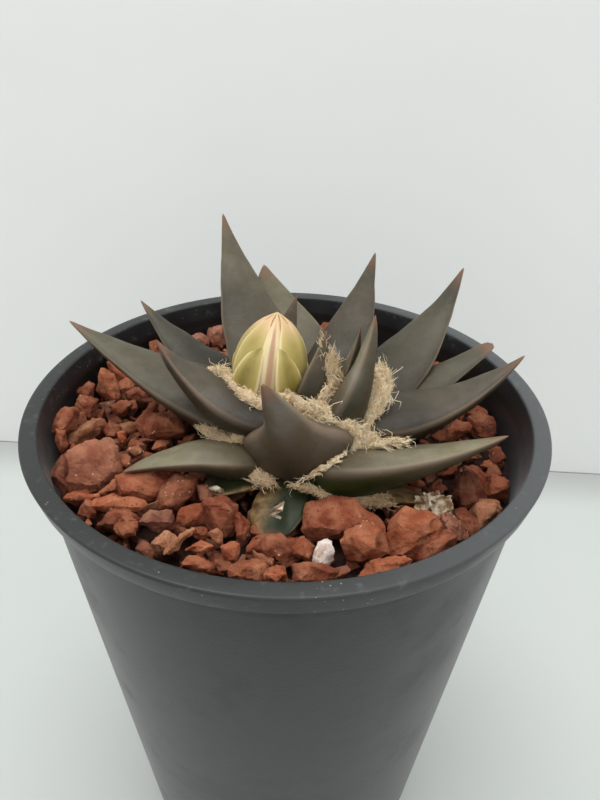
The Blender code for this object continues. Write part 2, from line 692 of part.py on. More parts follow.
def main():
    clear_scene()
    looks = materials()
    home = new_collection("potted_ariocarpus")
    repeats = new_collection("repeats", hidden=True)
    clearances = new_collection("clearances", hidden=True)
    build_pot(home, looks["plastic"])
    build_mix(home, looks["mix"])
    build_plant(home, looks["skin"], repeats)
    stem("stem_clearance", clearances, grow=GAP)
    for name, spec in TUBERCLES.items():
        new_object(name + "_clearance", tubercle(spec, GAP), clearances)
    build_bud(home, looks["bud"], repeats, clearances)
    build_wool(home, looks["wool"], repeats, clearances)
    build_gravel(home, looks, repeats, clearances)
    empty(clearances)
    bpy.data.collections.remove(clearances)
    bpy.data.collections.remove(repeats)


if __name__ == "__main__":
    main()
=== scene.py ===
"""The looks of a potted ariocarpus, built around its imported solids.

Sizes in the tables are in millimetres and turned into metres by MM.
The pot stands on Z = 0, and the side with the horn-like front tubercle faces -Y.
"""

import math
import random

import bmesh
import bpy
from bpy.props import FloatProperty, FloatVectorProperty, IntProperty, PointerProperty
from mathutils import Euler, Matrix, Vector, noise


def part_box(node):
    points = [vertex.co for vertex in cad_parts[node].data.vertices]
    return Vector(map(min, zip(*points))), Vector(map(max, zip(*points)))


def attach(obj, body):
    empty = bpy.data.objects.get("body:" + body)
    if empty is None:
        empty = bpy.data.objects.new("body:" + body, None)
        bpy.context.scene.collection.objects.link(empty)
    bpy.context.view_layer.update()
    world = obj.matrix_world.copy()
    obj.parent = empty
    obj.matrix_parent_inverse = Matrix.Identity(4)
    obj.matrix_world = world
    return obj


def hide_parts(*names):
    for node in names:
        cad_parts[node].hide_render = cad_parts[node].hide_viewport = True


bl_info = {
    "name": "Potted Ariocarpus",
    "version": (1, 0, 0),
    "blender": (4, 5, 0),
    "location": "View3D > Sidebar > Ariocarpus",
    "description": "Dresses a potted ariocarpus with its skin, bud, wool, brick chips and nursery pot",
    "category": "Object",
}

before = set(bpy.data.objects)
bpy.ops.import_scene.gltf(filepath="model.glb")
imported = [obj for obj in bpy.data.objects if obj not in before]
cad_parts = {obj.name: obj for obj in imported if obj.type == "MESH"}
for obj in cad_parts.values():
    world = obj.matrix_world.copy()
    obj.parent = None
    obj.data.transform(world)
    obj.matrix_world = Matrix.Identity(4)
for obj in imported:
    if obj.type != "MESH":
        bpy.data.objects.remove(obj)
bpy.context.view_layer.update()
MM = 0.001
POT_LOW, POT_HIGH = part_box("pot")
RIM_RADIUS = POT_HIGH.x / MM
POT_HEIGHT = POT_HIGH.z / MM

# Pot, as in the solids
RIM_WIDTH = 3.4
SKIRT_DEPTH = 4.3
SKIRT_FOOT_RADIUS = 51.2
BODY_TOP_RADIUS = 49.6
BODY_FOOT_RADIUS = 39.1
WALL = 1.5
LIP_DEPTH = 5.0
FLOOR_RECESS = 2.0
FOOT_RING_RADIUS = 34.5
CENTRE_PAD_RADIUS = 8.0
DRAIN_HOLES = 8
DRAIN_HOLE_RADIUS = 3.2
DRAIN_CIRCLE_RADIUS = 24.0
FOOT_NOTCHES = 4
FOOT_NOTCH_SIZE = (12.0, 9.0, 3.0)

# Fill, as in the solids
BED_BOTTOM = 118.0
BED_TOP = 123.2
CHIP_LEVEL = 125.2
FALL_PER_MM = 0.04
GAP = 0.35

# Plant, as in the solids
PLANT_X = 5.0
PLANT_Y = -6.0
ROOT_RADIUS = 15.0
ROOT_TIP_HEIGHT = 70.0

# The front is seen from this point.
VIEWPOINT = Vector((0.0, -111.5, 207.0))
CAMERA_HEIGHT_ANGLE = 32.81
CAMERA_TURN = 1.09
CAMERA_DROP = -0.43
CAMERA_ROLL = 1.61
CAMERA_LENS = 28.8
AIM = Vector((0.0, 0.0, 135.0))

# The wall board behind: its place on the axis and how much it slants
BOARD_PLACE = 149.0
BOARD_SLANT = 0.066


def paint(red, green, blue):
    """A screen colour, 0 to 255, as Blender's linear colour."""
    return tuple((part / 255) ** 2.2 for part in (red, green, blue))


# Tubercle outlines: half-width along the length, as a share of the greatest
BLADE = [(0, 0.84), (0.1, 0.96), (0.2, 1), (0.4, 0.83), (0.6, 0.57), (0.8, 0.29), (0.93, 0.11), (1, 0.02)]
BROAD = [(0, 0.84), (0.1, 0.96), (0.25, 1), (0.45, 0.9), (0.65, 0.7), (0.82, 0.42), (0.94, 0.17), (1, 0.02)]
BLUNT = [(0, 0.84), (0.1, 0.96), (0.2, 1), (0.4, 0.84), (0.6, 0.6), (0.8, 0.4), (0.93, 0.3), (1, 0.14)]
HORN = [(0, 0.82), (0.1, 0.97), (0.2, 1), (0.3, 0.86), (0.4, 0.6), (0.52, 0.43), (0.68, 0.3), (0.84, 0.18), (1, 0.04)]
ROOTED = [(0, 0.3), (0.07, 0.6), (0.16, 0.86), (0.28, 1), (0.45, 0.9), (0.65, 0.7), (0.82, 0.42), (0.94, 0.17), (1, 0.02)]
STUB = [(0, 0.8), (0.2, 0.96), (0.4, 1), (0.6, 0.98), (0.8, 0.84), (0.92, 0.56), (1, 0.1)]
KEEL = [(0, 0.84), (0.1, 0.98), (0.22, 1), (0.4, 0.82), (0.6, 0.56), (0.8, 0.32), (0.93, 0.14), (1, 0.02)]

# Tubercles: root, tip, width, thickness, sag, sway, roll, fullness of the section, outline
TUBERCLES = {
    "rear_left_tall": ((-1, 3, 135), (-15, 29.5, 163.5), 17.5, 9, 3.5, 0, 0, 0.35, BLADE),
    "rear_left_wide": ((7.5, 5, 132), (-6, 29, 152), 19, 8, 3, -1.5, 0, 0.3, BROAD),
    "rear_small": ((-3, 0, 138), (1.5, 6.5, 154.5), 8, 4.5, 1, 0, 0, 0.4, BLADE),
    "rear_right": ((7.5, 3, 135), (18.5, 22, 158), 13.5, 8, 3, 0, 0, 0.5, BLADE),
    "right_tall": ((14, 2, 133), (39, 24.5, 154), 17, 9, 5, 0, 0, 0.45, BLADE),
    "right_rear_low": ((16, 0, 130), (45, 13, 141), 13, 7.5, 1, 0, 0, 0.5, BLUNT),
    "right_long": ((12, -7, 135), (46, -3, 147), 15.5, 9.5, 4.2, 0, 0, 0.75, BLADE),
    "right_front": ((1.5, -17.5, 131), (41, -16.5, 137.5), 18, 9.5, 1.6, 0, 0, 0.85, ROOTED),
    "inner_right": ((8, -12, 137), (15.5, -7, 157), 11.5, 6.5, 1, 0.3, 0, 0.85, BLADE),
    "inner_scale": ((8.5, -6, 137), (13, -7.5, 155), 5, 3, 0.5, 0, 0, 0.3, BLADE),
    "inner_middle": ((3.4, -8.4, 138), (7, -5, 152.8), 8, 4.5, 0.5, -0.4, 0, 0.7, BLADE),
    "front_horn": ((2.6, -13.8, 132.4), (-4, -25, 153.2), 20.5, 10, 1.6, -0.9, 24, 0.9, HORN),
    "left_inner": ((-2, -8, 137), (-24, -7.5, 151), 17.5, 9.5, 3, 0, 0, 0.8, BLADE),
    "left_long": ((-6, -3, 133), (-45.5, 8.5, 147), 18.5, 10, 2, 0, 0, 0.6, BLADE),
    "left_rear": ((-8, 4.5, 131), (-34, 23.5, 145), 14, 8, 2.2, 0, 0, 0.5, BLADE),
    "left_front": ((-3, -15, 130), (-30.5, -19.5, 130), 14, 7, -2.5, 0, 0, 0.7, ROOTED),
    "old_front": ((2, -17, 126.5), (-3.5, -30.5, 124.5), 10.5, 9, -1, 0, 0, 1.0, STUB),
    "old_left": ((-2, -14, 126.5), (-15.5, -20.5, 126.5), 10, 5, -0.5, 0, 0, 0.5, STUB),
    "old_right": ((8, -15, 125.5), (28.5, -21.5, 126), 9, 4.5, 0.5, 0, 0, 0.7, STUB),
}

# Tones of the skin: mauve, light, green low down, darkness, painted light level (paints each tubercle lighter or
# darker as it is lit, with some of its own tone), and where it is dry
TONES = {
    "rear_left_tall": (0.4, 0.4, 0, 0, 0.85, None),
    "rear_left_wide": (0, 0.8, 0, 0, 0.98, None),
    "rear_small": (0.9, 0.2, 0, 0, 0.8, None),
    "rear_right": (0.6, 0.25, 0, 0, 0.65, None),
    "right_tall": (0.2, 0.5, 0, 0, 0.58, None),
    "right_rear_low": (0, 0.5, 0.2, 0, 0.58, None),
    "right_long": (0.7, 0.4, 0, 0, 0.62, None),
    "right_front": (0.2, 0.7, 1, 0, 1.4, None),
    "inner_right": (0.4, 0.4, 0.3, 0, 1.3, None),
    "inner_scale": (0.5, 0.3, 0, 0, 1.0, None),
    "inner_middle": (0.5, 0.2, 0.2, 0, 1.2, None),
    "front_horn": (0.9, 0.35, 0, 0, 1.4, None),
    "left_inner": (0.8, 0.3, 0, 0, 0.62, None),
    "left_long": (0.1, 0.5, 0.1, 0, 0.66, None),
    "left_rear": (0, 0.1, 0.3, 0, 0.42, None),
    "left_front": (0, 0.8, 0.3, 0, 1.3, None),
    "old_front": (0, 0, 1, 0.9, 1.0, "left"),
    "old_left": (0, 0, 1, 0.8, 1.0, "border"),
    "old_right": (0, 0.2, 0, 0, 1.0, "whole"),
}

# Spots on the skin: place, radius, bloom, redness, darkness (painted shade, which dims the painted light level)
SKIN_SPOTS = [
    ((-1.7, -25.7, 148.6), 1.8, 0.8, 0, 0),
    ((-1.2, -25.9, 145.0), 2.4, 1.0, 0, 0),
    ((-3.8, -25.5, 150.5), 1.4, 0.6, 0.2, 0),
    ((-4.4, -22.6, 143.2), 1.6, 0.5, 0, 0),
    ((0.5, -25.3, 141.6), 2.4, 0.2, 0.9, 0),
    ((1.1, -24.0, 134.2), 4.0, 0, 0, 0.8),
    ((7.3, -21.7, 139.6), 3.0, 0, 0.6, 0.2),
    ((-5.4, -20.4, 135.6), 2.4, 0.3, 0, 0.2),
    ((-12.6, -13.3, 142.1), 3.2, 0.4, 0, 0),
    ((-7.1, -14.8, 140.0), 3.4, 0, 0, 0.8),
    ((15.8, -22.6, 136.3), 4.0, 0.3, 0, 0),
    ((12.0, -23.5, 132.0), 4.0, 0, 0, 0.6),
    ((11.8, -13.9, 148.2), 2.4, 0.6, 0, 0),
    ((10.6, -16.3, 142.6), 2.6, 0, 0, 0.8),
    ((4.5, -9.9, 143.8), 2.4, 0, 0, 0.5),
    ((-14.9, -19.6, 134.5), 3.6, 0.3, 0, 0),
    ((-13.5, -21.0, 131.5), 2.4, 0, 0.3, 0.4),
    ((25.0, -12.5, 136.0), 5.0, 0, 0, 0.8),
    ((37.0, -7.0, 142.0), 4.0, 0, 0, 0.4),
    ((-12.4, 16.0, 148.0), 5.5, 0, 0, 0.8),
    ((36.4, 22.9, 150.3), 4.0, 0, 0, 0.7),
    ((-22.0, 13.9, 137.3), 6.0, 0, 0, 0.3),
]

# Bud
BUD_FOOT = Vector((-4.5, -5.0, 136.5))
BUD_TIP = Vector((-2.2, -0.5, 153.9))
BUD_RADIUS = 6.55
BUD_PROFILE = [(0, 0.3), (0.05, 0.62), (0.14, 0.84), (0.3, 0.98), (0.47, 1), (0.66, 0.87), (0.8, 0.66), (0.9, 0.43), (1, 0)]

# Tepals: turn from the front at the foot and at the peak, half-width, all in degrees, reach, lift, kind.
# Kind 0 is a green outer one, 1 the pale one with the midrib, and the rest lie between.
TEPALS = [
    (-1, 1, 20, 1.0, 0.34, 1.0),
    (-46, -34, 29, 1.0, 0.5, 0.3),
    (46, 34, 29, 1.0, 0.5, 0.3),
    (-78, -74, 32, 1.0, 0.26, 0.3),
    (78, 74, 32, 1.0, 0.26, 0.3),
    (-122, -122, 32, 0.98, 0.4, 0.3),
    (122, 122, 32, 0.98, 0.4, 0.3),
    (180, 180, 36, 0.98, 0.3, 0.4),
    (-50, -13, 27, 0.78, 1.2, 0.0),
    (46, 19, 26, 0.77, 1.2, 0.0),
    (-108, -100, 28, 0.62, 0.7, 0.0),
    (108, 100, 28, 0.64, 0.7, 0.0),
    (180, 176, 30, 0.6, 0.7, 0.0),
]

# Wool tufts: points along the seam that the wool fills, each with its half-width, then strand length, number, age
WOOL = {
    "wool_collar": [
        ([(-15, -3.4, 142.2, 0.8), (-12.6, -4.9, 142.5, 1.5), (-10.6, -6.5, 141.9, 1.3)], 3.5, 620, 0.2),
        ([(-10.4, -7.8, 142, 1.1), (-7.6, -10.5, 141.4, 1.6), (-5.3, -12.2, 140.5, 1.3)], 3.5, 760, 0.2),
        ([(-1, -12.4, 142.2, 0.8), (0.6, -12.5, 142.4, 0.9), (2, -12.8, 141.4, 1.0)], 3, 300, 0.3),
    ],
    "wool_crown": [
        ([(1.8, -14, 141.8, 0.9), (5.1, -15, 141.3, 1.4), (7.9, -15.8, 140.5, 1.6), (10.4, -16.2, 139.3, 1.4)], 4, 1150, 0.05),
        ([(10.4, -16.2, 139.3, 1.4), (13, -16.5, 137.4, 1.1)], 4, 360, 0.1),
        ([(8.8, -8.5, 142, 2.1), (8.3, -7.5, 145.8, 1.5), (6.8, -6, 149.4, 0.5)], 4.5, 900, 0.5),
        ([(6.2, -12, 140.8, 0.9), (7.4, -10.4, 143.2, 0.7)], 3.5, 300, 0.2),
    ],
    "wool_right": [
        ([(17.4, -5, 143.9, 0.9), (18.1, -6.5, 142, 1.6), (17.1, -8.7, 139.7, 1.8), (15.7, -11, 137.8, 1.4)], 5, 1250, 0),
        ([(15.7, -11, 137.8, 1.4), (14.9, -13.2, 135.8, 1.0)], 4, 260, 0.1),
    ],
    "wool_right_front": [
        ([(10.5, -18.6, 134.5, 0.7), (12.4, -17, 135.5, 1.5), (14.4, -15.6, 135.4, 1.6), (17, -14.6, 134.4, 1.0)], 4.5, 900, 0.15),
        ([(14.6, -17, 134.9, 0.8), (17.9, -16.6, 135.3, 0.6), (22.6, -15.6, 135.2, 0.25)], 4.5, 420, 0.1),
        ([(11.6, -16.8, 136.8, 0.7), (12.6, -16.4, 136.2, 0.7)], 2, 120, 1),
    ],
    "wool_left_front": [
        ([(-16.4, -10, 133.6, 0.6), (-13.7, -12, 133, 1.2), (-10.6, -13.5, 132.6, 1.5), (-8.6, -14, 134.8, 1.1)], 3.5, 760, 0.65),
    ],
    "wool_foot": [
        ([(-12, -17, 131.3, 0.5), (-8.6, -18, 131.1, 0.8), (-5.7, -20, 130.5, 1.4), (-3.2, -21.3, 129.9, 1.5)], 3.5, 900, 0.6),
        ([(-7.8, -18.5, 131.4, 0.7), (-6.8, -16.8, 132.3, 0.5)], 2.5, 160, 0.6),
        ([(3.1, -24.5, 133.2, 0.15), (6.2, -24, 135.2, 0.15), (8.5, -23, 136.3, 0.25), (10.5, -21.5, 136.4, 0.3)], 3, 260, 0.1),
        ([(2, -24.4, 131.6, 0.6), (6.4, -24, 129.4, 0.7), (12.2, -23.4, 127.6, 0.8), (18.8, -22.4, 127, 0.5)], 3, 700, 0.8),
        ([(6.5, -24.4, 128.8, 0.6), (13, -24, 127, 0.8), (20, -23, 126.2, 0.6)], 3, 420, 1),
    ],
}

LOCK = 9

# The large chips: place, rise above the common level, length, width, turn in degrees as seen from the front, kind
LARGE_CHIPS = [
    (-41.5, 14.0, 0.5, 8.0, 4.5, -75, "orange"),
    (-40.0, 19.5, 1.5, 6.5, 4.5, -55, "orange"),
    (-37.5, 15.5, 0.0, 5.0, 3.5, 10, "orange"),
    (-34.0, 13.5, -1.0, 5.5, 4.0, 10, "red"),
    (-37.5, 8.0, -1.0, 4.5, 3.5, 10, "orange"),
    (-30.5, 4.5, 0.5, 7.5, 2.0, 45, "orange"),
    (-44.5, 9.0, 2.0, 4.0, 4.0, 80, "red"),
    (-44.0, 5.0, 0.5, 5.0, 4.5, -85, "red"),
    (-45.0, -5.5, 4.0, 6.5, 4.0, 55, "red"),
    (-42.0, -4.5, 1.0, 9.0, 3.5, 25, "tan"),
    (-45.0, -9.0, 2.5, 4.5, 2.5, 90, "red"),
    (-37.5, -17.0, 2.0, 11.5, 9.5, -15, "mauve"),
    (-41.5, -20.0, 2.5, 7.5, 3.0, 90, "dark"),
    (-36.5, -7.5, 0.5, 4.0, 3.0, 10, "tan"),
    (-37.0, -2.5, 0.0, 4.0, 3.5, -50, "red"),
    (-34.0, 0.5, -1.0, 6.0, 2.5, 0, "tan"),
    (-34.0, -5.5, 0.5, 3.5, 2.0, 70, "orange"),
    (-26.0, 0.0, 0.5, 10.5, 6.5, 0, "red"),
    (-30.5, -9.5, 0.5, 3.0, 2.0, -25, "tan"),
    (-32.0, -13.5, 0.5, 3.5, 3.0, 30, "orange"),
    (-26.0, -19.5, 0.5, 12.0, 6.5, -5, "red"),
    (-37.0, -24.0, 1.0, 6.5, 2.0, -15, "orange"),
    (-33.0, -21.5, 1.0, 4.0, 2.0, 25, "orange"),
    (-30.0, -25.5, 1.0, 9.5, 3.0, -15, "orange"),
    (-35.5, -26.5, 0.5, 4.0, 3.0, -40, "red"),
    (-29.5, -28.5, 0.0, 7.0, 4.0, -10, "red"),
    (-27.5, -31.0, 1.0, 4.0, 3.5, -30, "orange"),
    (-22.5, -29.0, 1.0, 6.0, 3.5, -10, "mauve"),
    (-20.5, -33.5, 0.0, 4.5, 3.5, 15, "tan"),
    (-18.5, -35.0, 1.5, 7.0, 1.5, 35, "tan"),
    (-16.5, -27.5, 1.0, 6.0, 3.5, 15, "orange"),
    (-20.5, -22.0, 1.0, 8.0, 4.5, 35, "red"),
    (-18.0, -20.0, 1.0, 4.5, 3.0, 90, "red"),
    (-15.0, -22.0, 1.5, 4.0, 2.5, -75, "mauve"),
    (-12.0, -27.5, 1.5, 7.5, 5.5, -70, "red"),
    (-8.0, -29.5, 0.5, 4.5, 3.0, -75, "red"),
    (-15.0, -31.0, 0.5, 3.5, 2.0, -20, "red"),
    (-14.5, -35.0, 1.0, 4.5, 2.0, -5, "orange"),
    (-12.0, -31.5, 0.0, 3.5, 2.0, -55, "tan"),
    (-9.0, -36.0, 1.5, 3.5, 3.0, 25, "orange"),
    (-14.5, -38.5, 1.0, 5.0, 2.0, -20, "orange"),
    (-10.5, -38.5, 0.5, 4.5, 2.0, -10, "red"),
    (-6.0, -40.0, 1.0, 7.0, 4.0, -5, "orange"),
    (-1.5, -40.5, 1.0, 4.0, 3.5, 5, "orange"),
    (-5.0, -33.5, 0.5, 4.0, 3.0, 80, "red"),
    (-1.0, -34.5, 0.5, 7.0, 4.5, -30, "red"),
    (-3.5, -37.0, 1.0, 4.0, 1.5, -35, "tan"),
    (3.0, -35.5, 1.5, 4.5, 3.5, -70, "orange"),
    (6.0, -33.0, 0.0, 2.0, 1.5, 45, "grey"),
    (5.0, -40.5, 1.5, 7.0, 3.5, 5, "red"),
    (9.0, -28.0, 2.0, 12.5, 6.5, 5, "red"),
    (13.0, -34.0, 2.0, 8.5, 6.0, 35, "orange"),
    (16.5, -27.5, 1.0, 3.0, 2.0, -25, "red"),
    (16.5, -38.0, 1.0, 8.0, 3.5, 25, "orange"),
    (21.5, -31.0, 2.0, 9.5, 7.0, 50, "orange"),
    (26.0, -32.5, 0.5, 8.5, 4.5, 45, "red"),
    (30.0, -28.0, 1.0, 6.0, 3.5, -45, "mauve"),
    (33.0, -26.0, 0.0, 6.0, 3.5, -50, "red"),
    (37.5, -22.5, 0.0, 7.0, 4.5, 70, "tan"),
    (35.0, -17.5, 1.0, 7.5, 7.0, -35, "dark"),
    (38.0, -13.0, 0.5, 5.5, 4.0, -30, "red"),
    (41.5, -8.0, 0.0, 3.0, 2.0, 30, "orange"),
    (41.0, -16.5, 1.5, 6.0, 4.5, 55, "red"),
    (44.0, -6.0, 0.0, 4.5, 4.0, 80, "red"),
    (43.5, 5.0, 0.5, 6.5, 5.5, -45, "red"),
    (43.5, 9.0, 1.0, 5.0, 4.0, -25, "orange"),
    (36.5, 3.5, -0.5, 8.0, 4.0, 40, "red"),
    (29.0, -17.5, 1.0, 3.0, 2.5, 35, "red"),
    (-19.5, 40.5, 0.0, 7.5, 5.0, 80, "mauve"),
    (-23.5, 37.5, 0.0, 5.5, 5.0, -10, "mauve"),
    (9.5, 44.0, 2.0, 6.0, 3.5, 55, "orange"),
    (35.5, 27.0, 1.5, 6.5, 5.0, 15, "red"),
    (39.0, 22.5, 2.0, 6.0, 4.5, -85, "red"),
    (-33.0, 31.0, 1.5, 4.5, 4.0, -75, "red"),
]
PALE_CHIP = (6.5, -37.0, 2.4, 6.2, 3.8, 75, "pale")

# Papery flakes: name, place, length, width, tilt
HUSK_FLAKES = [
    ("husk_large", (28.2, -24.2, 126.6), 5.0, 4.4, (50, 10, 20)),
    ("husk_ring", (25.2, -24.0, 127.2), 3.2, 3.6, (35, -30, -25)),
    ("husk_upper", (27.0, -22.8, 127.9), 4.4, 2.2, (15, 20, 40)),
    ("husk_corner", (29.6, -25.4, 125.6), 2.6, 1.8, (60, 35, -30)),
    ("scrap_long", (-1.6, -31.2, 131.4), 1.9, 0.35, (50, 0, 35)),
    ("scrap_short", (-1.6, -31.3, 130.6), 1.7, 0.35, (50, 0, -30)),
    ("scrap_left", (-11.6, -22.4, 127.4), 1.4, 0.7, (40, 0, -10)),
]
CHIP_SEED = 5
CHIP_UNEVEN = 0.34
CHIP_STRETCH = 1.24
MOST_CHIP_DEPTH = 3.0
FILLER_SEED = 11
FILLER_SPACING = 4.4

# Colours of the chips
CHIP_PAINT = {
    "red": paint(146, 84, 60),
    "orange": paint(168, 100, 70),
    "mauve": paint(150, 102, 84),
    "tan": paint(176, 128, 98),
    "dark": paint(112, 62, 46),
    "grey": paint(120, 122, 96),
}
FILLER_KINDS = ["red", "red", "red", "orange", "orange", "mauve", "tan", "dark"]


def clear_startup():
    """Removes what Blender's startup file holds. The frame stays."""
    for name in ("Cube", "Light", "Camera"):
        thing = bpy.data.objects.get(name)
        if thing:
            bpy.data.objects.remove(thing, do_unlink=True)


def home():
    """The collection that holds the dressed object."""
    name = "potted_ariocarpus"
    found = bpy.data.collections.get(name)
    if not found:
        found = bpy.data.collections.new(name)
        bpy.context.scene.collection.children.link(found)
    return found


def new_mesh_object(name, shape, looks, sharp_angle=None):
    """Makes a smooth-shaded object of a bmesh that is in millimetres, with its place in its mesh."""
    bmesh.ops.scale(shape, vec=(MM, MM, MM), verts=shape.verts)
    mesh = bpy.data.meshes.new(name)
    shape.to_mesh(mesh)
    shape.free()
    mesh.shade_smooth()
    if sharp_angle:
        mesh.set_sharp_from_angle(angle=math.radians(sharp_angle))
    for look in looks:
        mesh.materials.append(look)
    made = bpy.data.objects.new(name, mesh)
    home().objects.link(made)
    return made


def dress(piece, slot, *nodes):
    """Ties a finished piece to the pot's body and hides the solids that it stands for. The slot is not used."""
    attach(piece, "root")
    if nodes:
        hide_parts(*nodes)
    return piece


def apply_modifiers(thing):
    bpy.context.view_layer.update()
    graph = bpy.context.evaluated_depsgraph_get()
    mesh = bpy.data.meshes.new_from_object(thing.evaluated_get(graph))
    thing.modifiers.clear()
    thing.data = mesh


def blend(table, at):
    """A smooth curve through a table of (place, value) pairs."""
    at = min(max(at, table[0][0]), table[-1][0])
    for i in range(len(table) - 1):
        start, low = table[i]
        end, high = table[i + 1]
        if at <= end:
            before = table[max(i - 1, 0)]
            after = table[min(i + 2, len(table) - 1)]
            span = end - start
            slope_in = (high - before[1]) / (end - before[0])
            slope_out = (after[1] - low) / (after[0] - start)
            t = (at - start) / span
            rise = (2 * t**3 - 3 * t**2 + 1) * low + (-2 * t**3 + 3 * t**2) * high
            lean = (t**3 - 2 * t**2 + t) * slope_in + (t**3 - t**2) * slope_out
            return rise + lean * span
    return table[-1][1]


def add_node(tree, kind, **settings):
    made = tree.nodes.new(kind)
    for name, value in settings.items():
        setattr(made, name, value)
    return made


def feed(tree, socket, value):
    """Links an output to an input, or sets the input's own value."""
    if isinstance(value, bpy.types.NodeSocket):
        tree.links.new(value, socket)
    elif isinstance(value, tuple) and len(value) == 3 and len(socket.default_value) == 4:
        socket.default_value = (*value, 1.0)
    else:
        socket.default_value = value


def object_place(tree):
    return add_node(tree, "ShaderNodeTexCoord").outputs["Object"]


def noise_value(tree, place, scale, detail=3.0, roughness=0.5):
    made = add_node(tree, "ShaderNodeTexNoise")
    feed(tree, made.inputs["Vector"], place)
    feed(tree, made.inputs["Scale"], scale)
    made.inputs["Detail"].default_value = detail
    made.inputs["Roughness"].default_value = roughness
    return made.outputs["Fac"]


def spread(tree, value, low, high, to_low=0.0, to_high=1.0):
    """Maps a value from one range to another and holds it there."""
    made = add_node(tree, "ShaderNodeMapRange", interpolation_type="SMOOTHSTEP")
    for socket, part in zip(made.inputs, (value, low, high, to_low, to_high)):
        feed(tree, socket, part)
    return made.outputs["Result"]


def sum_of(tree, kind, first, second):
    made = add_node(tree, "ShaderNodeMath", operation=kind)
    feed(tree, made.inputs[0], first)
    feed(tree, made.inputs[1], second)
    return made.outputs["Value"]


def mixed(tree, share, first, second, kind="MIX"):
    """Mixes two colours."""
    made = add_node(tree, "ShaderNodeMix", data_type="RGBA", blend_type=kind)
    feed(tree, made.inputs["Factor"], share)
    feed(tree, made.inputs[6], first)
    feed(tree, made.inputs[7], second)
    return made.outputs[2]


def attribute(tree, name):
    """The three parts of a vector attribute of the mesh."""
    source = add_node(tree, "ShaderNodeAttribute", attribute_name=name)
    parts = add_node(tree, "ShaderNodeSeparateXYZ")
    tree.links.new(source.outputs["Vector"], parts.inputs[0])
    return parts.outputs[0], parts.outputs[1], parts.outputs[2]


def new_group(name, inputs, outputs):
    """A shader node group with named sockets."""
    tree = bpy.data.node_groups.new(name, "ShaderNodeTree")
    for label, kind, value in inputs:
        socket = tree.interface.new_socket(label, in_out="INPUT", socket_type=kind)
        if value is not None:
            socket.default_value = value
    for label, kind in outputs:
        tree.interface.new_socket(label, in_out="OUTPUT", socket_type=kind)
    return tree, add_node(tree, "NodeGroupInput").outputs, add_node(tree, "NodeGroupOutput").inputs


def patches_group():
    """Cloudy patches with soft edges, between a low and a high threshold."""
    name = "Cloudy patches"
    if name in bpy.data.node_groups:
        return bpy.data.node_groups[name]
    inputs = [
        ("Place", "NodeSocketVector", None),
        ("Scale", "NodeSocketFloat", 100.0),
        ("Low", "NodeSocketFloat", 0.4),
        ("High", "NodeSocketFloat", 0.6),
    ]
    tree, given, out = new_group(name, inputs, [("Mask", "NodeSocketFloat")])
    cloud = noise_value(tree, given["Place"], given["Scale"], 4.0, 0.6)
    tree.links.new(spread(tree, cloud, given["Low"], given["High"]), out["Mask"])
    return tree


def grain_group():
    """A pitted, grainy height."""
    name = "Pitted grain"
    if name in bpy.data.node_groups:
        return bpy.data.node_groups[name]
    inputs = [
        ("Place", "NodeSocketVector", None),
        ("Scale", "NodeSocketFloat", 800.0),
        ("Pits", "NodeSocketFloat", 0.5),
    ]
    tree, given, out = new_group(name, inputs, [("Height", "NodeSocketFloat")])
    grain = noise_value(tree, given["Place"], given["Scale"], 5.0, 0.65)
    coarse = sum_of(tree, "MULTIPLY", given["Scale"], 0.35)
    cells = add_node(tree, "ShaderNodeTexVoronoi")
    feed(tree, cells.inputs["Vector"], given["Place"])
    feed(tree, cells.inputs["Scale"], coarse)
    pit = spread(tree, cells.outputs["Distance"], 0.0, 0.35)
    sunk = sum_of(tree, "MULTIPLY", pit, given["Pits"])
    tree.links.new(sum_of(tree, "ADD", grain, sunk), out["Height"])
    return tree


def specks_group():
    """Small scattered specks."""
    name = "Scattered specks"
    if name in bpy.data.node_groups:
        return bpy.data.node_groups[name]
    inputs = [
        ("Place", "NodeSocketVector", None),
        ("Scale", "NodeSocketFloat", 600.0),
        ("Size", "NodeSocketFloat", 0.15),
        ("Spread", "NodeSocketFloat", 0.6),
    ]
    tree, given, out = new_group(name, inputs, [("Mask", "NodeSocketFloat")])
    cells = add_node(tree, "ShaderNodeTexVoronoi")
    feed(tree, cells.inputs["Vector"], given["Place"])
    feed(tree, cells.inputs["Scale"], given["Scale"])
    dot = sum_of(tree, "LESS_THAN", cells.outputs["Distance"], given["Size"])
    slow = sum_of(tree, "MULTIPLY", given["Scale"], 0.12)
    where = noise_value(tree, given["Place"], slow, 2.0)
    chosen = sum_of(tree, "GREATER_THAN", where, given["Spread"])
    tree.links.new(sum_of(tree, "MULTIPLY", dot, chosen), out["Mask"])
    return tree


def use_group(tree, group, **values):
    made = add_node(tree, "ShaderNodeGroup", node_tree=group)
    for name, value in values.items():
        feed(tree, made.inputs[name], value)
    return made.outputs[0]


def new_material(name):
    """An empty material with its tree, its shader and its place over the object."""
    made = bpy.data.materials.new(name)
    made.use_nodes = True
    tree = made.node_tree
    shader = tree.nodes["Principled BSDF"]
    return made, tree, shader, object_place(tree)


def bump(tree, shader, height, distance, strength=1.0):
    """Feeds a height, in metres times the distance, to a shader's normal."""
    made = add_node(tree, "ShaderNodeBump")
    made.inputs["Strength"].default_value = strength
    made.inputs["Distance"].default_value = distance
    tree.links.new(height, made.inputs["Height"])
    tree.links.new(made.outputs["Normal"], shader.inputs["Normal"])


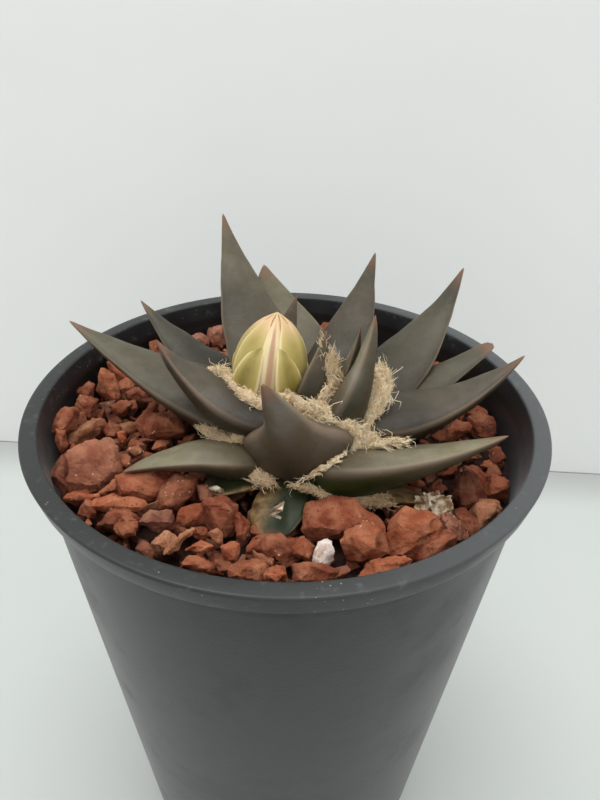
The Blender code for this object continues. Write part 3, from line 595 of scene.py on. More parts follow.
def plastic_material(look):
    """Dusty black polypropylene: cloudy water marks, faint mould streaks, scuffs on the rim and pale specks, with a
    painted highlight on the right of the rim top and a painted shadow band under the skirt.
    """
    made, tree, shader, place = new_material("black_plastic")
    parts = add_node(tree, "ShaderNodeSeparateXYZ")
    tree.links.new(place, parts.inputs[0])
    height = parts.outputs[2]
    cloud = use_group(tree, patches_group(), Place=place, Scale=34.0, Low=0.4, High=0.72)
    fine = use_group(tree, patches_group(), Place=place, Scale=120.0, Low=0.45, High=0.75)
    dust = sum_of(tree, "ADD", sum_of(tree, "MULTIPLY", cloud, 0.7), sum_of(tree, "MULTIPLY", fine, 0.3))
    # The dust colour thins towards the top, so the body is darker just under the skirt and lighter further down.
    lower = spread(tree, height, (POT_HEIGHT - 6.0) * MM, 0.06, 0.35, 1.0)
    colour = mixed(tree, sum_of(tree, "MULTIPLY", dust, lower), tuple(look.plastic), tuple(look.dust))
    near_rim = spread(tree, height, (POT_HEIGHT - 5.0) * MM, (POT_HEIGHT - 3.5) * MM)
    # Painted highlight: the rim top is mixed towards the scuff colour more and more towards +X, in place of a
    # reflection.
    painted_rim_highlight = spread(tree, parts.outputs[0], -0.01, 0.05, 0.12, 0.9)
    painted_rim_highlight = sum_of(tree, "MULTIPLY", painted_rim_highlight, spread(tree, height, (POT_HEIGHT - 0.9) * MM, (POT_HEIGHT - 0.1) * MM))
    colour = mixed(tree, sum_of(tree, "MULTIPLY", painted_rim_highlight, 0.6), colour, tuple(look.scuff_and_rim_highlight))
    worn = sum_of(tree, "MULTIPLY", near_rim, use_group(tree, patches_group(), Place=place, Scale=420.0, Low=0.55, High=0.75))
    colour = mixed(tree, sum_of(tree, "MULTIPLY", worn, 0.4), colour, tuple(look.scuff_and_rim_highlight))
    specks = use_group(tree, specks_group(), Place=place, Scale=900.0, Size=0.1, Spread=0.58)
    colour = mixed(tree, sum_of(tree, "MULTIPLY", specks, near_rim), colour, paint(150, 150, 146))
    # Painted shadow under the skirt: a near-black band on the body just below it, 3.7 mm deep at the front and 1.4 mm
    # from the sides round to the back.
    skirt_shadow_width = spread(tree, parts.outputs[1], -0.05, 0.0, 3.7, 1.4)
    skirt_shadow_foot = sum_of(tree, "SUBTRACT", POT_HEIGHT - SKIRT_DEPTH, skirt_shadow_width)
    skirt_shadow = sum_of(tree, "GREATER_THAN", height, sum_of(tree, "MULTIPLY", skirt_shadow_foot, MM))
    skirt_shadow = sum_of(tree, "MULTIPLY", skirt_shadow, spread(tree, height, (POT_HEIGHT - SKIRT_DEPTH + 0.3) * MM, (POT_HEIGHT - SKIRT_DEPTH + 0.2) * MM))
    colour = mixed(tree, sum_of(tree, "MULTIPLY", skirt_shadow, 0.9), colour, paint(10, 10, 10))
    feed(tree, shader.inputs["Base Color"], colour)
    feed(tree, shader.inputs["Roughness"], spread(tree, dust, 0.0, 1.0, look.gloss, look.gloss + 0.2))
    shader.inputs["Specular IOR Level"].default_value = 0.5
    shader.inputs["Sheen Weight"].default_value = 0.16
    shader.inputs["Sheen Roughness"].default_value = 0.3
    grain = use_group(tree, grain_group(), Place=place, Scale=1500.0, Pits=0.1)
    bump(tree, shader, grain, 0.00012, 0.35)
    return made


def soil_material():
    """Dark crumbly growing mix."""
    made, tree, shader, place = new_material("growing_mix")
    cloud = use_group(tree, patches_group(), Place=place, Scale=500.0, Low=0.35, High=0.7)
    colour = mixed(tree, cloud, paint(24, 17, 13), paint(66, 50, 38))
    feed(tree, shader.inputs["Base Color"], colour)
    shader.inputs["Roughness"].default_value = 0.95
    bump(tree, shader, use_group(tree, grain_group(), Place=place, Scale=900.0, Pits=0.6), 0.0006)
    return made


def fines_material():
    """Brick dust and crumbs between the chips, painted near black as the shade that lies between them."""
    made, tree, shader, place = new_material("brick_fines_painted_shade")
    cloud = use_group(tree, patches_group(), Place=place, Scale=700.0, Low=0.35, High=0.7)
    # Painted shade: dark red-browns far below the chips' own colour.
    colour = mixed(tree, cloud, paint(30, 13, 9), paint(62, 32, 22))
    feed(tree, shader.inputs["Base Color"], colour)
    shader.inputs["Roughness"].default_value = 0.95
    bump(tree, shader, use_group(tree, grain_group(), Place=place, Scale=900.0, Pits=0.6), 0.0006)
    return made


def brick_material(look):
    """Crushed brick: each chip has its own tint, with pale dust, dark pits and white grains."""
    made, tree, shader, place = new_material("crushed_brick")
    source = add_node(tree, "ShaderNodeAttribute", attribute_name="tint")
    cloud = use_group(tree, patches_group(), Place=place, Scale=260.0, Low=0.32, High=0.72)
    fine = use_group(tree, patches_group(), Place=place, Scale=1300.0, Low=0.3, High=0.75)
    darker = mixed(tree, 1.0, source.outputs["Color"], paint(214, 196, 188), "MULTIPLY")
    lighter = mixed(tree, 0.25, source.outputs["Color"], tuple(look.brick_dust))
    colour = mixed(tree, cloud, darker, lighter)
    colour = mixed(tree, sum_of(tree, "MULTIPLY", fine, 0.35), colour, tuple(look.brick_dust), "SOFT_LIGHT")
    pits = use_group(tree, specks_group(), Place=place, Scale=1100.0, Size=0.24, Spread=0.58)
    colour = mixed(tree, sum_of(tree, "MULTIPLY", pits, 0.55), colour, paint(84, 40, 28))
    grains = use_group(tree, specks_group(), Place=place, Scale=820.0, Size=0.17, Spread=0.6)
    colour = mixed(tree, sum_of(tree, "MULTIPLY", grains, 0.6), colour, paint(226, 190, 160))
    feed(tree, shader.inputs["Base Color"], colour)
    shader.inputs["Roughness"].default_value = 0.88
    shader.inputs["Specular IOR Level"].default_value = 0.3
    bump(tree, shader, use_group(tree, grain_group(), Place=place, Scale=750.0, Pits=0.6), 0.0007)
    return made


def pale_stone_material():
    """A rough chip of pale, sugary stone."""
    made, tree, shader, place = new_material("pale_stone")
    cloud = use_group(tree, patches_group(), Place=place, Scale=420.0, Low=0.35, High=0.65)
    colour = mixed(tree, cloud, paint(196, 172, 156), paint(238, 226, 216))
    feed(tree, shader.inputs["Base Color"], colour)
    shader.inputs["Roughness"].default_value = 0.8
    bump(tree, shader, use_group(tree, grain_group(), Place=place, Scale=1000.0, Pits=0.5), 0.0004)
    return made


def skin_material(look):
    """Tubercle skin: grey-green to mauve, with a bloom, flanks darker in their own colour and in painted shade,
    painted shade at the roots, a painted light level for each tubercle, pale edges and brown tips.
    """
    made, tree, shader, place = new_material("tubercle_skin")
    along, across, over = attribute(tree, "place")
    mauve, light, green = attribute(tree, "tone")
    dry, dark, spot = attribute(tree, "age")
    cloud = use_group(tree, patches_group(), Place=place, Scale=95.0, Low=0.3, High=0.7)
    fine = use_group(tree, patches_group(), Place=place, Scale=480.0, Low=0.3, High=0.75)
    purple = sum_of(tree, "MULTIPLY", mauve, spread(tree, cloud, 0.0, 1.0, 0.6, 1.1))
    colour = mixed(tree, purple, tuple(look.skin_green), tuple(look.skin_mauve))
    colour = mixed(tree, sum_of(tree, "MULTIPLY", light, 0.7), colour, tuple(look.skin_light))
    top = spread(tree, over, 0.0, 0.9)
    bloom = sum_of(tree, "MULTIPLY", fine, spread(tree, top, 0.0, 1.0, 0.1, 0.25))
    bloom = sum_of(tree, "MINIMUM", sum_of(tree, "ADD", bloom, sum_of(tree, "MULTIPLY", spot, 0.9)), 1.0)
    colour = mixed(tree, bloom, colour, tuple(look.skin_bloom))
    rusty = use_group(tree, patches_group(), Place=place, Scale=170.0, Low=0.45, High=0.8)
    colour = mixed(tree, sum_of(tree, "MULTIPLY", rusty, 0.35), colour, tuple(look.skin_rust))
    mottle = use_group(tree, patches_group(), Place=place, Scale=300.0, Low=0.25, High=0.8)
    colour = mixed(tree, 1.0, colour, mixed(tree, mottle, paint(222, 222, 222), paint(255, 255, 255)), "MULTIPLY")
    # Painted shade on the undersides, over the flanks' own darker colour: they are mixed towards the shade colour.
    below = spread(tree, over, 0.2, -0.7)
    colour = mixed(tree, sum_of(tree, "MULTIPLY", below, 0.75), colour, tuple(look.painted_skin_shade))
    # Painted shade at the roots, where the tubercles crowd at the crown.
    inner = spread(tree, along, 0.7, 0.1, 0.0, 0.85)
    colour = mixed(tree, inner, colour, tuple(look.painted_skin_shade))
    flank = sum_of(tree, "MULTIPLY", green, spread(tree, along, 0.7, 0.25))
    colour = mixed(tree, sum_of(tree, "MULTIPLY", flank, below), colour, tuple(look.flank_green))
    colour = mixed(tree, dark, colour, tuple(look.flank_green))
    # Painted light and shade: each tubercle's colour is scaled by its painted light level.
    painted_light_level = add_node(tree, "ShaderNodeAttribute", attribute_name="painted_light_level")
    colour = mixed(tree, 1.0, colour, painted_light_level.outputs["Color"], "MULTIPLY")
    rim = sum_of(tree, "MULTIPLY", spread(tree, across, 0.93, 1.0), spread(tree, along, 0.15, 0.6, 0.2, 0.6))
    colour = mixed(tree, rim, colour, tuple(look.edge_pale))
    tip = spread(tree, along, 0.84, 0.99, 0.0, 0.8)
    colour = mixed(tree, tip, colour, tuple(look.tip_brown))
    papery = mixed(tree, fine, tuple(look.dry_brown), tuple(look.dry_pale))
    colour = mixed(tree, dry, colour, papery)
    feed(tree, shader.inputs["Base Color"], colour)
    feed(tree, shader.inputs["Roughness"], spread(tree, fine, 0.0, 1.0, 0.44, 0.6))
    shader.inputs["Specular IOR Level"].default_value = 0.4
    grain = use_group(tree, grain_group(), Place=place, Scale=700.0, Pits=0.15)
    bump(tree, shader, grain, 0.00025, 0.6)
    return made


def tepal_material(look):
    """Bud tepals: yellow-green middles, cream edges and a pink-brown midrib on the inner ones."""
    made, tree, shader, place = new_material("bud_tepals")
    along, across, kind = attribute(tree, "place")
    cloud = use_group(tree, patches_group(), Place=place, Scale=260.0, Low=0.3, High=0.7)
    heart = spread(tree, across, 0.1, 0.85)
    green = mixed(tree, heart, tuple(look.bud_green), tuple(look.bud_yellow))
    green = mixed(tree, sum_of(tree, "MULTIPLY", cloud, 0.4), green, tuple(look.bud_yellow))
    foot = spread(tree, along, 0.4, 0.0, 0.0, 0.6)
    green = mixed(tree, foot, green, tuple(look.bud_green))
    between = spread(tree, kind, 0.0, 0.3, 0.0, 0.45)
    green = mixed(tree, between, green, tuple(look.bud_yellow))
    margin = spread(tree, across, 0.72, 0.92, 0.0, 0.95)
    colour = mixed(tree, margin, green, tuple(look.bud_cream))
    pale = sum_of(tree, "MULTIPLY", spread(tree, kind, 0.5, 1.0, 0.0, 0.9), spread(tree, along, 0.05, 0.4))
    colour = mixed(tree, pale, colour, tuple(look.bud_cream))
    peak = spread(tree, along, 0.7, 0.95, 0.0, 0.8)
    peaked = sum_of(tree, "MULTIPLY", peak, spread(tree, kind, 0.0, 0.3))
    colour = mixed(tree, peaked, colour, tuple(look.bud_pink))
    rib = sum_of(tree, "MULTIPLY", spread(tree, across, 0.32, 0.12), spread(tree, kind, 0.8, 1.0))
    rib = sum_of(tree, "MULTIPLY", rib, spread(tree, along, 0.1, 0.4, 0.35, 0.85))
    rib = sum_of(tree, "MULTIPLY", rib, spread(tree, along, 0.96, 0.8, 0.3, 1.0))
    colour = mixed(tree, rib, colour, tuple(look.bud_rib))
    feed(tree, shader.inputs["Base Color"], colour)
    shader.inputs["Roughness"].default_value = 0.5
    shader.inputs["Subsurface Weight"].default_value = 0.2
    shader.inputs["Subsurface Radius"].default_value = (0.002, 0.002, 0.001)
    shader.inputs["Subsurface Scale"].default_value = 0.5
    streaks = use_group(tree, grain_group(), Place=place, Scale=1400.0, Pits=0.1)
    bump(tree, shader, streaks, 0.00008, 0.5)
    return made


def wool_material(look):
    """Cream wool, browner where it is old, with painted shade on the matted core below the strands."""
    made, tree, shader, place = new_material("areole_wool")
    root, shade, old = attribute(tree, "fibre")
    cloud = use_group(tree, patches_group(), Place=place, Scale=420.0, Low=0.45, High=0.75)
    colour = mixed(tree, shade, tuple(look.wool_dark), tuple(look.wool_light))
    stained = sum_of(tree, "MINIMUM", sum_of(tree, "ADD", sum_of(tree, "MULTIPLY", cloud, 0.3), old), 1.0)
    colour = mixed(tree, sum_of(tree, "MULTIPLY", stained, 0.6), colour, tuple(look.wool_old_and_shade))
    # Painted shade: the core, which holds 0.7 as its first value, is mixed towards the old wool's brown.
    deep = spread(tree, root, 0.6, 1.0, 0.35, 0.0)
    colour = mixed(tree, deep, colour, tuple(look.wool_old_and_shade))
    feed(tree, shader.inputs["Base Color"], colour)
    shader.inputs["Roughness"].default_value = 0.85
    shader.inputs["Specular IOR Level"].default_value = 0.2
    bump(tree, shader, use_group(tree, grain_group(), Place=place, Scale=2200.0, Pits=0.2), 0.0002)
    return made


def husk_material():
    """Dry papery husk, cream with brown veins."""
    made, tree, shader, place = new_material("dry_husk")
    cloud = use_group(tree, patches_group(), Place=place, Scale=700.0, Low=0.35, High=0.6)
    colour = mixed(tree, cloud, paint(136, 96, 62), paint(226, 212, 184))
    feed(tree, shader.inputs["Base Color"], colour)
    shader.inputs["Roughness"].default_value = 0.75
    bump(tree, shader, use_group(tree, grain_group(), Place=place, Scale=1300.0, Pits=0.2), 0.0002)
    return made


def board_distance(tree, place):
    """How far a point of the floor lies in front of the wall board, in metres."""
    parts = add_node(tree, "ShaderNodeSeparateXYZ")
    tree.links.new(place, parts.inputs[0])
    slanted = sum_of(tree, "MULTIPLY", parts.outputs[0], BOARD_SLANT)
    return sum_of(tree, "SUBTRACT", BOARD_PLACE * MM, sum_of(tree, "ADD", parts.outputs[1], slanted)), parts.outputs[2]


def floor_material():
    """Plain pale board, darkened close to the wall board by a painted shadow."""
    made, tree, shader, place = new_material("pale_floor")
    cloud = use_group(tree, patches_group(), Place=place, Scale=6.0, Low=0.2, High=0.8)
    colour = mixed(tree, cloud, paint(206, 210, 207), paint(202, 207, 203))
    ahead, height = board_distance(tree, place)
    # Painted shadow: within 30 mm of the wall board the floor is mixed towards grey.
    colour = mixed(tree, spread(tree, ahead, 0.03, 0.0, 0.0, 0.55), colour, paint(150, 152, 152))
    feed(tree, shader.inputs["Base Color"], colour)
    shader.inputs["Roughness"].default_value = 0.7
    return made


def board_material():
    """Plain pale board with a painted shadow line at its foot, where it meets the floor. Its back is clear, so that it
    hides nothing from behind.
    """
    made, tree, shader, place = new_material("pale_wall")
    cloud = use_group(tree, patches_group(), Place=place, Scale=6.0, Low=0.2, High=0.8)
    colour = mixed(tree, cloud, paint(235, 236, 233), paint(230, 231, 229))
    ahead, height = board_distance(tree, place)
    # Painted shadow: the lowest 1.4 mm of the board are darkened to grey.
    colour = mixed(tree, spread(tree, height, 0.0014, 0.0004, 0.0, 0.75), colour, paint(90, 90, 92))
    feed(tree, shader.inputs["Base Color"], colour)
    shader.inputs["Roughness"].default_value = 0.75
    clear = add_node(tree, "ShaderNodeBsdfTransparent")
    side = add_node(tree, "ShaderNodeNewGeometry")
    join = add_node(tree, "ShaderNodeMixShader")
    tree.links.new(side.outputs["Backfacing"], join.inputs[0])
    tree.links.new(shader.outputs[0], join.inputs[1])
    tree.links.new(clear.outputs[0], join.inputs[2])
    tree.links.new(join.outputs[0], tree.nodes["Material Output"].inputs["Surface"])
    return made


def wall_radius(height):
    """The pot's inner wall: a short lip above a long taper."""
    inner = RIM_RADIUS - RIM_WIDTH
    below = POT_HEIGHT - height
    if below < LIP_DEPTH:
        return inner - below / LIP_DEPTH
    slope = (BODY_TOP_RADIUS - BODY_FOOT_RADIUS) / (POT_HEIGHT - SKIRT_DEPTH)
    return inner - 1.0 - slope * (below - LIP_DEPTH)


def rounded(corner, before, after, radius, steps=4):
    """Points that round a corner of a profile."""
    corner, before, after = Vector(corner), Vector(before), Vector(after)
    start = corner + (before - corner).normalized() * radius
    end = corner + (after - corner).normalized() * radius
    points = []
    for i in range(steps + 1):
        t = i / steps
        points.append((1 - t) ** 2 * start + 2 * t * (1 - t) * corner + t**2 * end)
    return points


def pot_profile():
    """Corners of the pot's section with the radius of each, from the inner floor over the rim to the centre pad."""
    floor = FLOOR_RECESS + WALL
    skirt_foot = POT_HEIGHT - SKIRT_DEPTH
    inner = RIM_RADIUS - RIM_WIDTH
    corners = [
        ((0.0, floor), 0),
        ((BODY_FOOT_RADIUS - WALL - 0.4, floor), 1.2),
        ((wall_radius(POT_HEIGHT - LIP_DEPTH), POT_HEIGHT - LIP_DEPTH), 0.8),
        ((inner, POT_HEIGHT), 0.5),
        ((RIM_RADIUS, POT_HEIGHT), 0.7),
        ((SKIRT_FOOT_RADIUS + 0.3, skirt_foot), 0.35),
        ((SKIRT_FOOT_RADIUS - 0.6, skirt_foot), 0.2),
        ((BODY_TOP_RADIUS + 0.1, skirt_foot + 0.9), 0.3),
        ((BODY_FOOT_RADIUS, 2.5), 0.8),
        ((BODY_FOOT_RADIUS - 0.9, 0.0), 0.5),
        ((FOOT_RING_RADIUS, 0.0), 0.3),
        ((FOOT_RING_RADIUS - 0.6, FLOOR_RECESS), 0.3),
        ((CENTRE_PAD_RADIUS + 0.6, FLOOR_RECESS), 0.3),
        ((CENTRE_PAD_RADIUS, 0.0), 0.3),
        ((0.0, 0.0), 0),
    ]
    points = [Vector(corners[0][0])]
    for i in range(1, len(corners) - 1):
        corner, radius = corners[i]
        points += rounded(corner, corners[i - 1][0], corners[i + 1][0], radius)
    points.append(Vector(corners[-1][0]))
    return points


def spun(points, steps):
    """Spins a (radius, height) profile about the pot's axis."""
    shape = bmesh.new()
    verts = [shape.verts.new((point[0], 0.0, point[1])) for point in points]
    edges = [shape.edges.new(pair) for pair in zip(verts, verts[1:])]
    bmesh.ops.spin(
        shape,
        geom=verts + edges,
        axis=(0.0, 0.0, 1.0),
        cent=(0.0, 0.0, 0.0),
        angle=2 * math.pi,
        steps=steps,
        use_merge=True,
    )
    bmesh.ops.remove_doubles(shape, verts=shape.verts, dist=0.0005)
    bmesh.ops.recalc_face_normals(shape, faces=shape.faces)
    return shape


def pot_cutters():
    """The drain holes and the notches in the foot ring."""
    shape = bmesh.new()
    for i in range(DRAIN_HOLES):
        turn = 2 * math.pi * (i + 0.5) / DRAIN_HOLES
        place = Vector((math.cos(turn), math.sin(turn), 0.0)) * DRAIN_CIRCLE_RADIUS
        place.z = FLOOR_RECESS + WALL / 2
        bmesh.ops.create_cone(
            shape,
            cap_ends=True,
            segments=40,
            radius1=DRAIN_HOLE_RADIUS,
            radius2=DRAIN_HOLE_RADIUS,
            depth=6 * WALL,
            matrix=Matrix.Translation(place),
        )
    for i in range(FOOT_NOTCHES):
        turn = Matrix.Rotation(2 * math.pi * i / FOOT_NOTCHES, 4, "Z")
        along = Matrix.Translation((FOOT_RING_RADIUS + 3.0, 0.0, 0.1))
        bmesh.ops.create_cube(shape, matrix=turn @ along @ Matrix.Diagonal((*FOOT_NOTCH_SIZE, 1.0)))
    return new_mesh_object("pot_cutters", shape, [])


def build_pot(sizes, look):
    pot = new_mesh_object("nursery_pot", spun(pot_profile(), sizes.pot_steps), [plastic_material(look)], 35)
    cutters = pot_cutters()
    cut = pot.modifiers.new("Holes", "BOOLEAN")
    cut.operation = "DIFFERENCE"
    cut.object = cutters
    cut.solver = "EXACT"
    apply_modifiers(pot)
    bpy.data.objects.remove(cutters, do_unlink=True)
    dress(pot, "black_plastic", "pot")


def tubercle_axis(spec):
    """The root, the bending point and the tip of a tubercle, with the direction that its upper face leans to."""
    root, tip, sag, sway, roll = Vector(spec[0]), Vector(spec[1]), spec[4], spec[5], spec[6]
    middle = (root + tip) / 2
    inward = Vector((PLANT_X - middle.x, PLANT_Y - middle.y, 0.0)).normalized()
    inward = Matrix.Rotation(math.radians(roll), 3, "Z") @ inward
    lean = inward + Vector((0.0, 0.0, 1.0))
    along = (tip - root).normalized()
    up = (lean - lean.dot(along) * along).normalized()
    bend = middle - up * 2 * sag + along.cross(up) * 2 * sway
    return root, bend, tip, lean


def tubercle_point(spec, at, turn, axis):
    """A point of a tubercle's skin. Its section is a blend of a blade with a keel and a fuller, rounder form."""
    width, depth, full, outline = spec[2], spec[3], spec[7], spec[8]
    root, bend, tip, lean = axis
    forward = ((1 - at) * (bend - root) + at * (tip - bend)).normalized()
    centre = (1 - at) ** 2 * root + 2 * at * (1 - at) * bend + at**2 * tip
    up = (lean - lean.dot(forward) * forward).normalized()
    side = forward.cross(up)
    half = width / 2 * blend(outline, at)
    deep = depth * blend(KEEL, at) * min(1.0, blend(outline, min(at, 0.2)) / 0.8)
    across, over = math.cos(turn), math.sin(turn)
    soft = min(0.45, half * 0.25) * over * (1 - full)
    if over >= 0:
        lift = deep * ((1 - full) * 0.2 * over**2 + full * 0.3 * over)
    else:
        hollow = 1 - abs(across) ** 1.7
        lift = -deep * ((1 - full) * 0.78 * hollow + full * 0.72 * hollow**0.62)
    return centre + side * across * half + up * (lift + soft)


def dryness(where, at, turn):
    """How dry and papery the skin of an old tubercle is."""
    if where == "whole":
        return 1.0
    if where == "left":
        return min(1.0, max(0.0, 1.6 * math.cos(turn) + 0.1) * min(1.0, 2.2 * at))
    if where == "border":
        return min(1.0, max(0.0, (abs(math.cos(turn)) - 0.8) * 6, (at - 0.84) * 9))
    return 0.0


def spotted(point):
    """How much bloom, redness and darkness the spots give a point of the skin. The darkness is painted shade."""
    total = Vector((0.0, 0.0, 0.0))
    for place, radius, bloom, red, dark in SKIN_SPOTS:
        share = math.exp(-(((point - Vector(place)).length / radius) ** 2))
        total += Vector((bloom, red, dark)) * share
    return total


def tubercle_shape(name, spec, rings, sides):
    """A closed tubercle, shaped from a sphere, with where each point lies on it and its tones."""
    shape = bmesh.new()
    bmesh.ops.create_uvsphere(shape, u_segments=sides, v_segments=rings, radius=1.0)
    where = shape.verts.layers.float_vector.new("place")
    tone = shape.verts.layers.float_vector.new("tone")
    age = shape.verts.layers.float_vector.new("age")
    value = shape.verts.layers.float.new("painted_light_level")
    axis = tubercle_axis(spec)
    mauve, light, green, dark, painted_light, dry = TONES[name]
    shift = Vector((random.Random(name).uniform(0, 50), 0.0, 0.0))
    for vert in shape.verts:
        at = (math.acos(max(-1.0, min(1.0, -vert.co.z))) / math.pi) ** 0.93
        on_axis = math.hypot(vert.co.x, vert.co.y) < 1e-4
        turn = math.atan2(vert.co.y, vert.co.x)
        low = tubercle_point(spec, at, -0.5 * math.pi, axis)
        centre = (tubercle_point(spec, at, 0.5 * math.pi, axis) + low) / 2
        point = centre if on_axis else tubercle_point(spec, at, turn, axis)
        if not on_axis:
            swell = noise.noise(point / 6.5 + shift) * 0.35 + noise.noise(point / 2.2 + shift) * 0.07
            point += (point - centre).normalized() * swell * min(1.0, 4 * (1 - at))
        vert.co = point
        vert[where] = (at, abs(math.cos(turn)), math.sin(turn))
        bloom, red, shaded = spotted(point)
        vert[tone] = (mauve + red, light, green)
        vert[age] = (dryness(dry, at, turn), dark, bloom)
        # Painted light level, lowered where the spots paint shade.
        vert[value] = painted_light * (1 - 0.6 * min(1.0, shaded))
    bmesh.ops.recalc_face_normals(shape, faces=shape.faces)
    return shape


def stem_shape():
    """The short stem and the taproot."""
    profile = [
        (0.0, 139.0),
        (7.0, 137.6),
        (13.0, 133.0),
        (16.5, 127.0),
        (ROOT_RADIUS, 119.0),
        (ROOT_RADIUS - 3.5, 104.0),
        (5.5, 82.0),
        (1.6, ROOT_TIP_HEIGHT + 2.0),
        (0.0, ROOT_TIP_HEIGHT),
    ]
    shape = spun(profile, 48)
    bmesh.ops.subdivide_edges(shape, edges=shape.edges, cuts=1, use_grid_fill=True)
    where = shape.verts.layers.float_vector.new("place")
    tone = shape.verts.layers.float_vector.new("tone")
    age = shape.verts.layers.float_vector.new("age")
    value = shape.verts.layers.float.new("painted_light_level")
    for vert in shape.verts:
        vert.co += Vector((PLANT_X, PLANT_Y, 0.0)) + noise.noise_vector(vert.co / 4.0) * 0.3
        # These places give the stem the skin's painted shade of a root's underside.
        vert[where] = (0.1, 0.5, -0.5)
        vert[tone] = (0.0, 0.1, 1.0)
        vert[age] = (0.7 if vert.co.z < 128.0 else 0.3, 0.6, 0.0)
        vert[value] = 1.0
    return shape


def joined(shapes):
    """One bmesh of several, with their layers kept."""
    whole = bmesh.new()
    for shape in shapes:
        part = bpy.data.meshes.new("part")
        shape.to_mesh(part)
        shape.free()
        whole.from_mesh(part)
        bpy.data.meshes.remove(part)
    return whole


def build_plant(sizes, look):
    skin = skin_material(look)
    stem = new_mesh_object("stem", stem_shape(), [skin])
    dress(stem, "tubercle_skin", "plant_body")
    for name, spec in TUBERCLES.items():
        shape = tubercle_shape(name, spec, sizes.tubercle_rings, sizes.tubercle_sides)
        dress(new_mesh_object("tubercle_" + name, shape, [skin]), "tubercle_skin", "plant_body")


def bud_frame():
    """The bud's length and its own axes. The third one faces the front."""
    along = BUD_TIP - BUD_FOOT
    length = along.length
    along.normalize()
    front = (VIEWPOINT - BUD_FOOT).normalized()
    front = (front - front.dot(along) * along).normalized()
    return length, along, along.cross(front) * -1, front


def bud_point(at, turn, lift, axes):
    """A point over the bud at a share of its length. Turn 0 faces the front and grows to the right."""
    length, along, right, front = axes
    radius = BUD_RADIUS * blend(BUD_PROFILE, at) + lift
    return BUD_FOOT + along * length * at + (front * math.cos(turn) + right * math.sin(turn)) * radius


def bud_core_shape(axes):
    shape = bmesh.new()
    bmesh.ops.create_uvsphere(shape, u_segments=48, v_segments=32, radius=1.0)
    where = shape.verts.layers.float_vector.new("place")
    for vert in shape.verts:
        at = (vert.co.z + 1) / 2
        turn = math.atan2(vert.co.x, -vert.co.y)
        on_axis = math.hypot(vert.co.x, vert.co.y) < 1e-4
        vert.co = bud_point(at, turn, -0.3, axes) if not on_axis else BUD_FOOT + axes[1] * axes[0] * (0.02 + 0.9 * at)
        vert[where] = (at, 1.0, 0.0)
    bmesh.ops.recalc_face_normals(shape, faces=shape.faces)
    return shape


def tepal_shape(spec, axes):
    """A pointed blade that hugs the bud, raised along its middle, with one edge over its neighbour's."""
    foot_turn, peak_turn, half_width, reach, lift, kind = spec
    rows, columns = 36, 18
    shape = bmesh.new()
    bmesh.ops.create_grid(shape, x_segments=columns, y_segments=rows, size=1.0)
    where = shape.verts.layers.float_vector.new("place")
    for vert in shape.verts:
        side, share = vert.co.x, (vert.co.y + 1) / 2
        at = 0.03 + (reach - 0.03) * share
        near_foot = min(1.0, 0.7 + share)
        taper = (1 - share**6) ** 0.8 if kind else (1 - share**2.2) ** 0.95
        middle = math.radians(foot_turn + (peak_turn - foot_turn) * share)
        width = math.radians(half_width) * near_foot * taper + 0.012
        raised = lift * (1 - 0.4 * share) + 0.35 * (1 - side**2) + 0.1 * side
        raised += 0.12 * noise.noise(Vector((side * 1.5, share * 3, foot_turn)))
        vert.co = bud_point(at, middle + width * side, raised * min(1.0, 3.2 * (1 - share) + 0.1), axes)
        vert[where] = (share * reach, abs(side), kind)
    bmesh.ops.recalc_face_normals(shape, faces=shape.faces)
    bmesh.ops.solidify(shape, geom=shape.faces[:], thickness=0.2)
    return shape


def build_bud(look):
    axes = bud_frame()
    tepals = tepal_material(look)
    core = new_mesh_object("bud_core", bud_core_shape(axes), [tepals])
    dress(core, "bud_tepals", "flower_bud")
    for number, spec in enumerate(TEPALS):
        piece = new_mesh_object("tepal_%d" % (number + 1), tepal_shape(spec, axes), [tepals])
        dress(piece, "bud_tepals", "flower_bud")


def tuft_point(chain, share):
    """The centre and the half-width at a share of the way along a tuft."""
    spans = [(b[0] - a[0]).length for a, b in zip(chain, chain[1:])]
    left = share * sum(spans)
    for a, b, span in zip(chain, chain[1:], spans):
        if left <= span:
            part = left / span
            return a[0].lerp(b[0], part), a[1] + (b[1] - a[1]) * part
        left -= span
    return chain[-1]


def wool_core(shape, chain, old, draw):
    """Lumpy matted wool below the strands."""
    layer = shape.verts.layers.float_vector.get("fibre") or shape.verts.layers.float_vector.new("fibre")
    length = sum((b[0] - a[0]).length for a, b in zip(chain, chain[1:]))
    count = max(2, int(length / 0.9))
    for i in range(count + 1):
        centre, radius = tuft_point(chain, i / count)
        made = bmesh.ops.create_icosphere(shape, subdivisions=3, radius=1.0)["verts"]
        size = radius * draw.uniform(0.7, 0.95)
        for vert in made:
            lump = 1 + 0.3 * noise.noise(vert.co * 2.4 + centre) + 0.2 * noise.noise(vert.co * 7 + centre)
            vert.co = centre + vert.co * size * lump
            vert[layer] = (0.7, 0.5 + 0.4 * noise.noise(vert.co * 1.7), old)


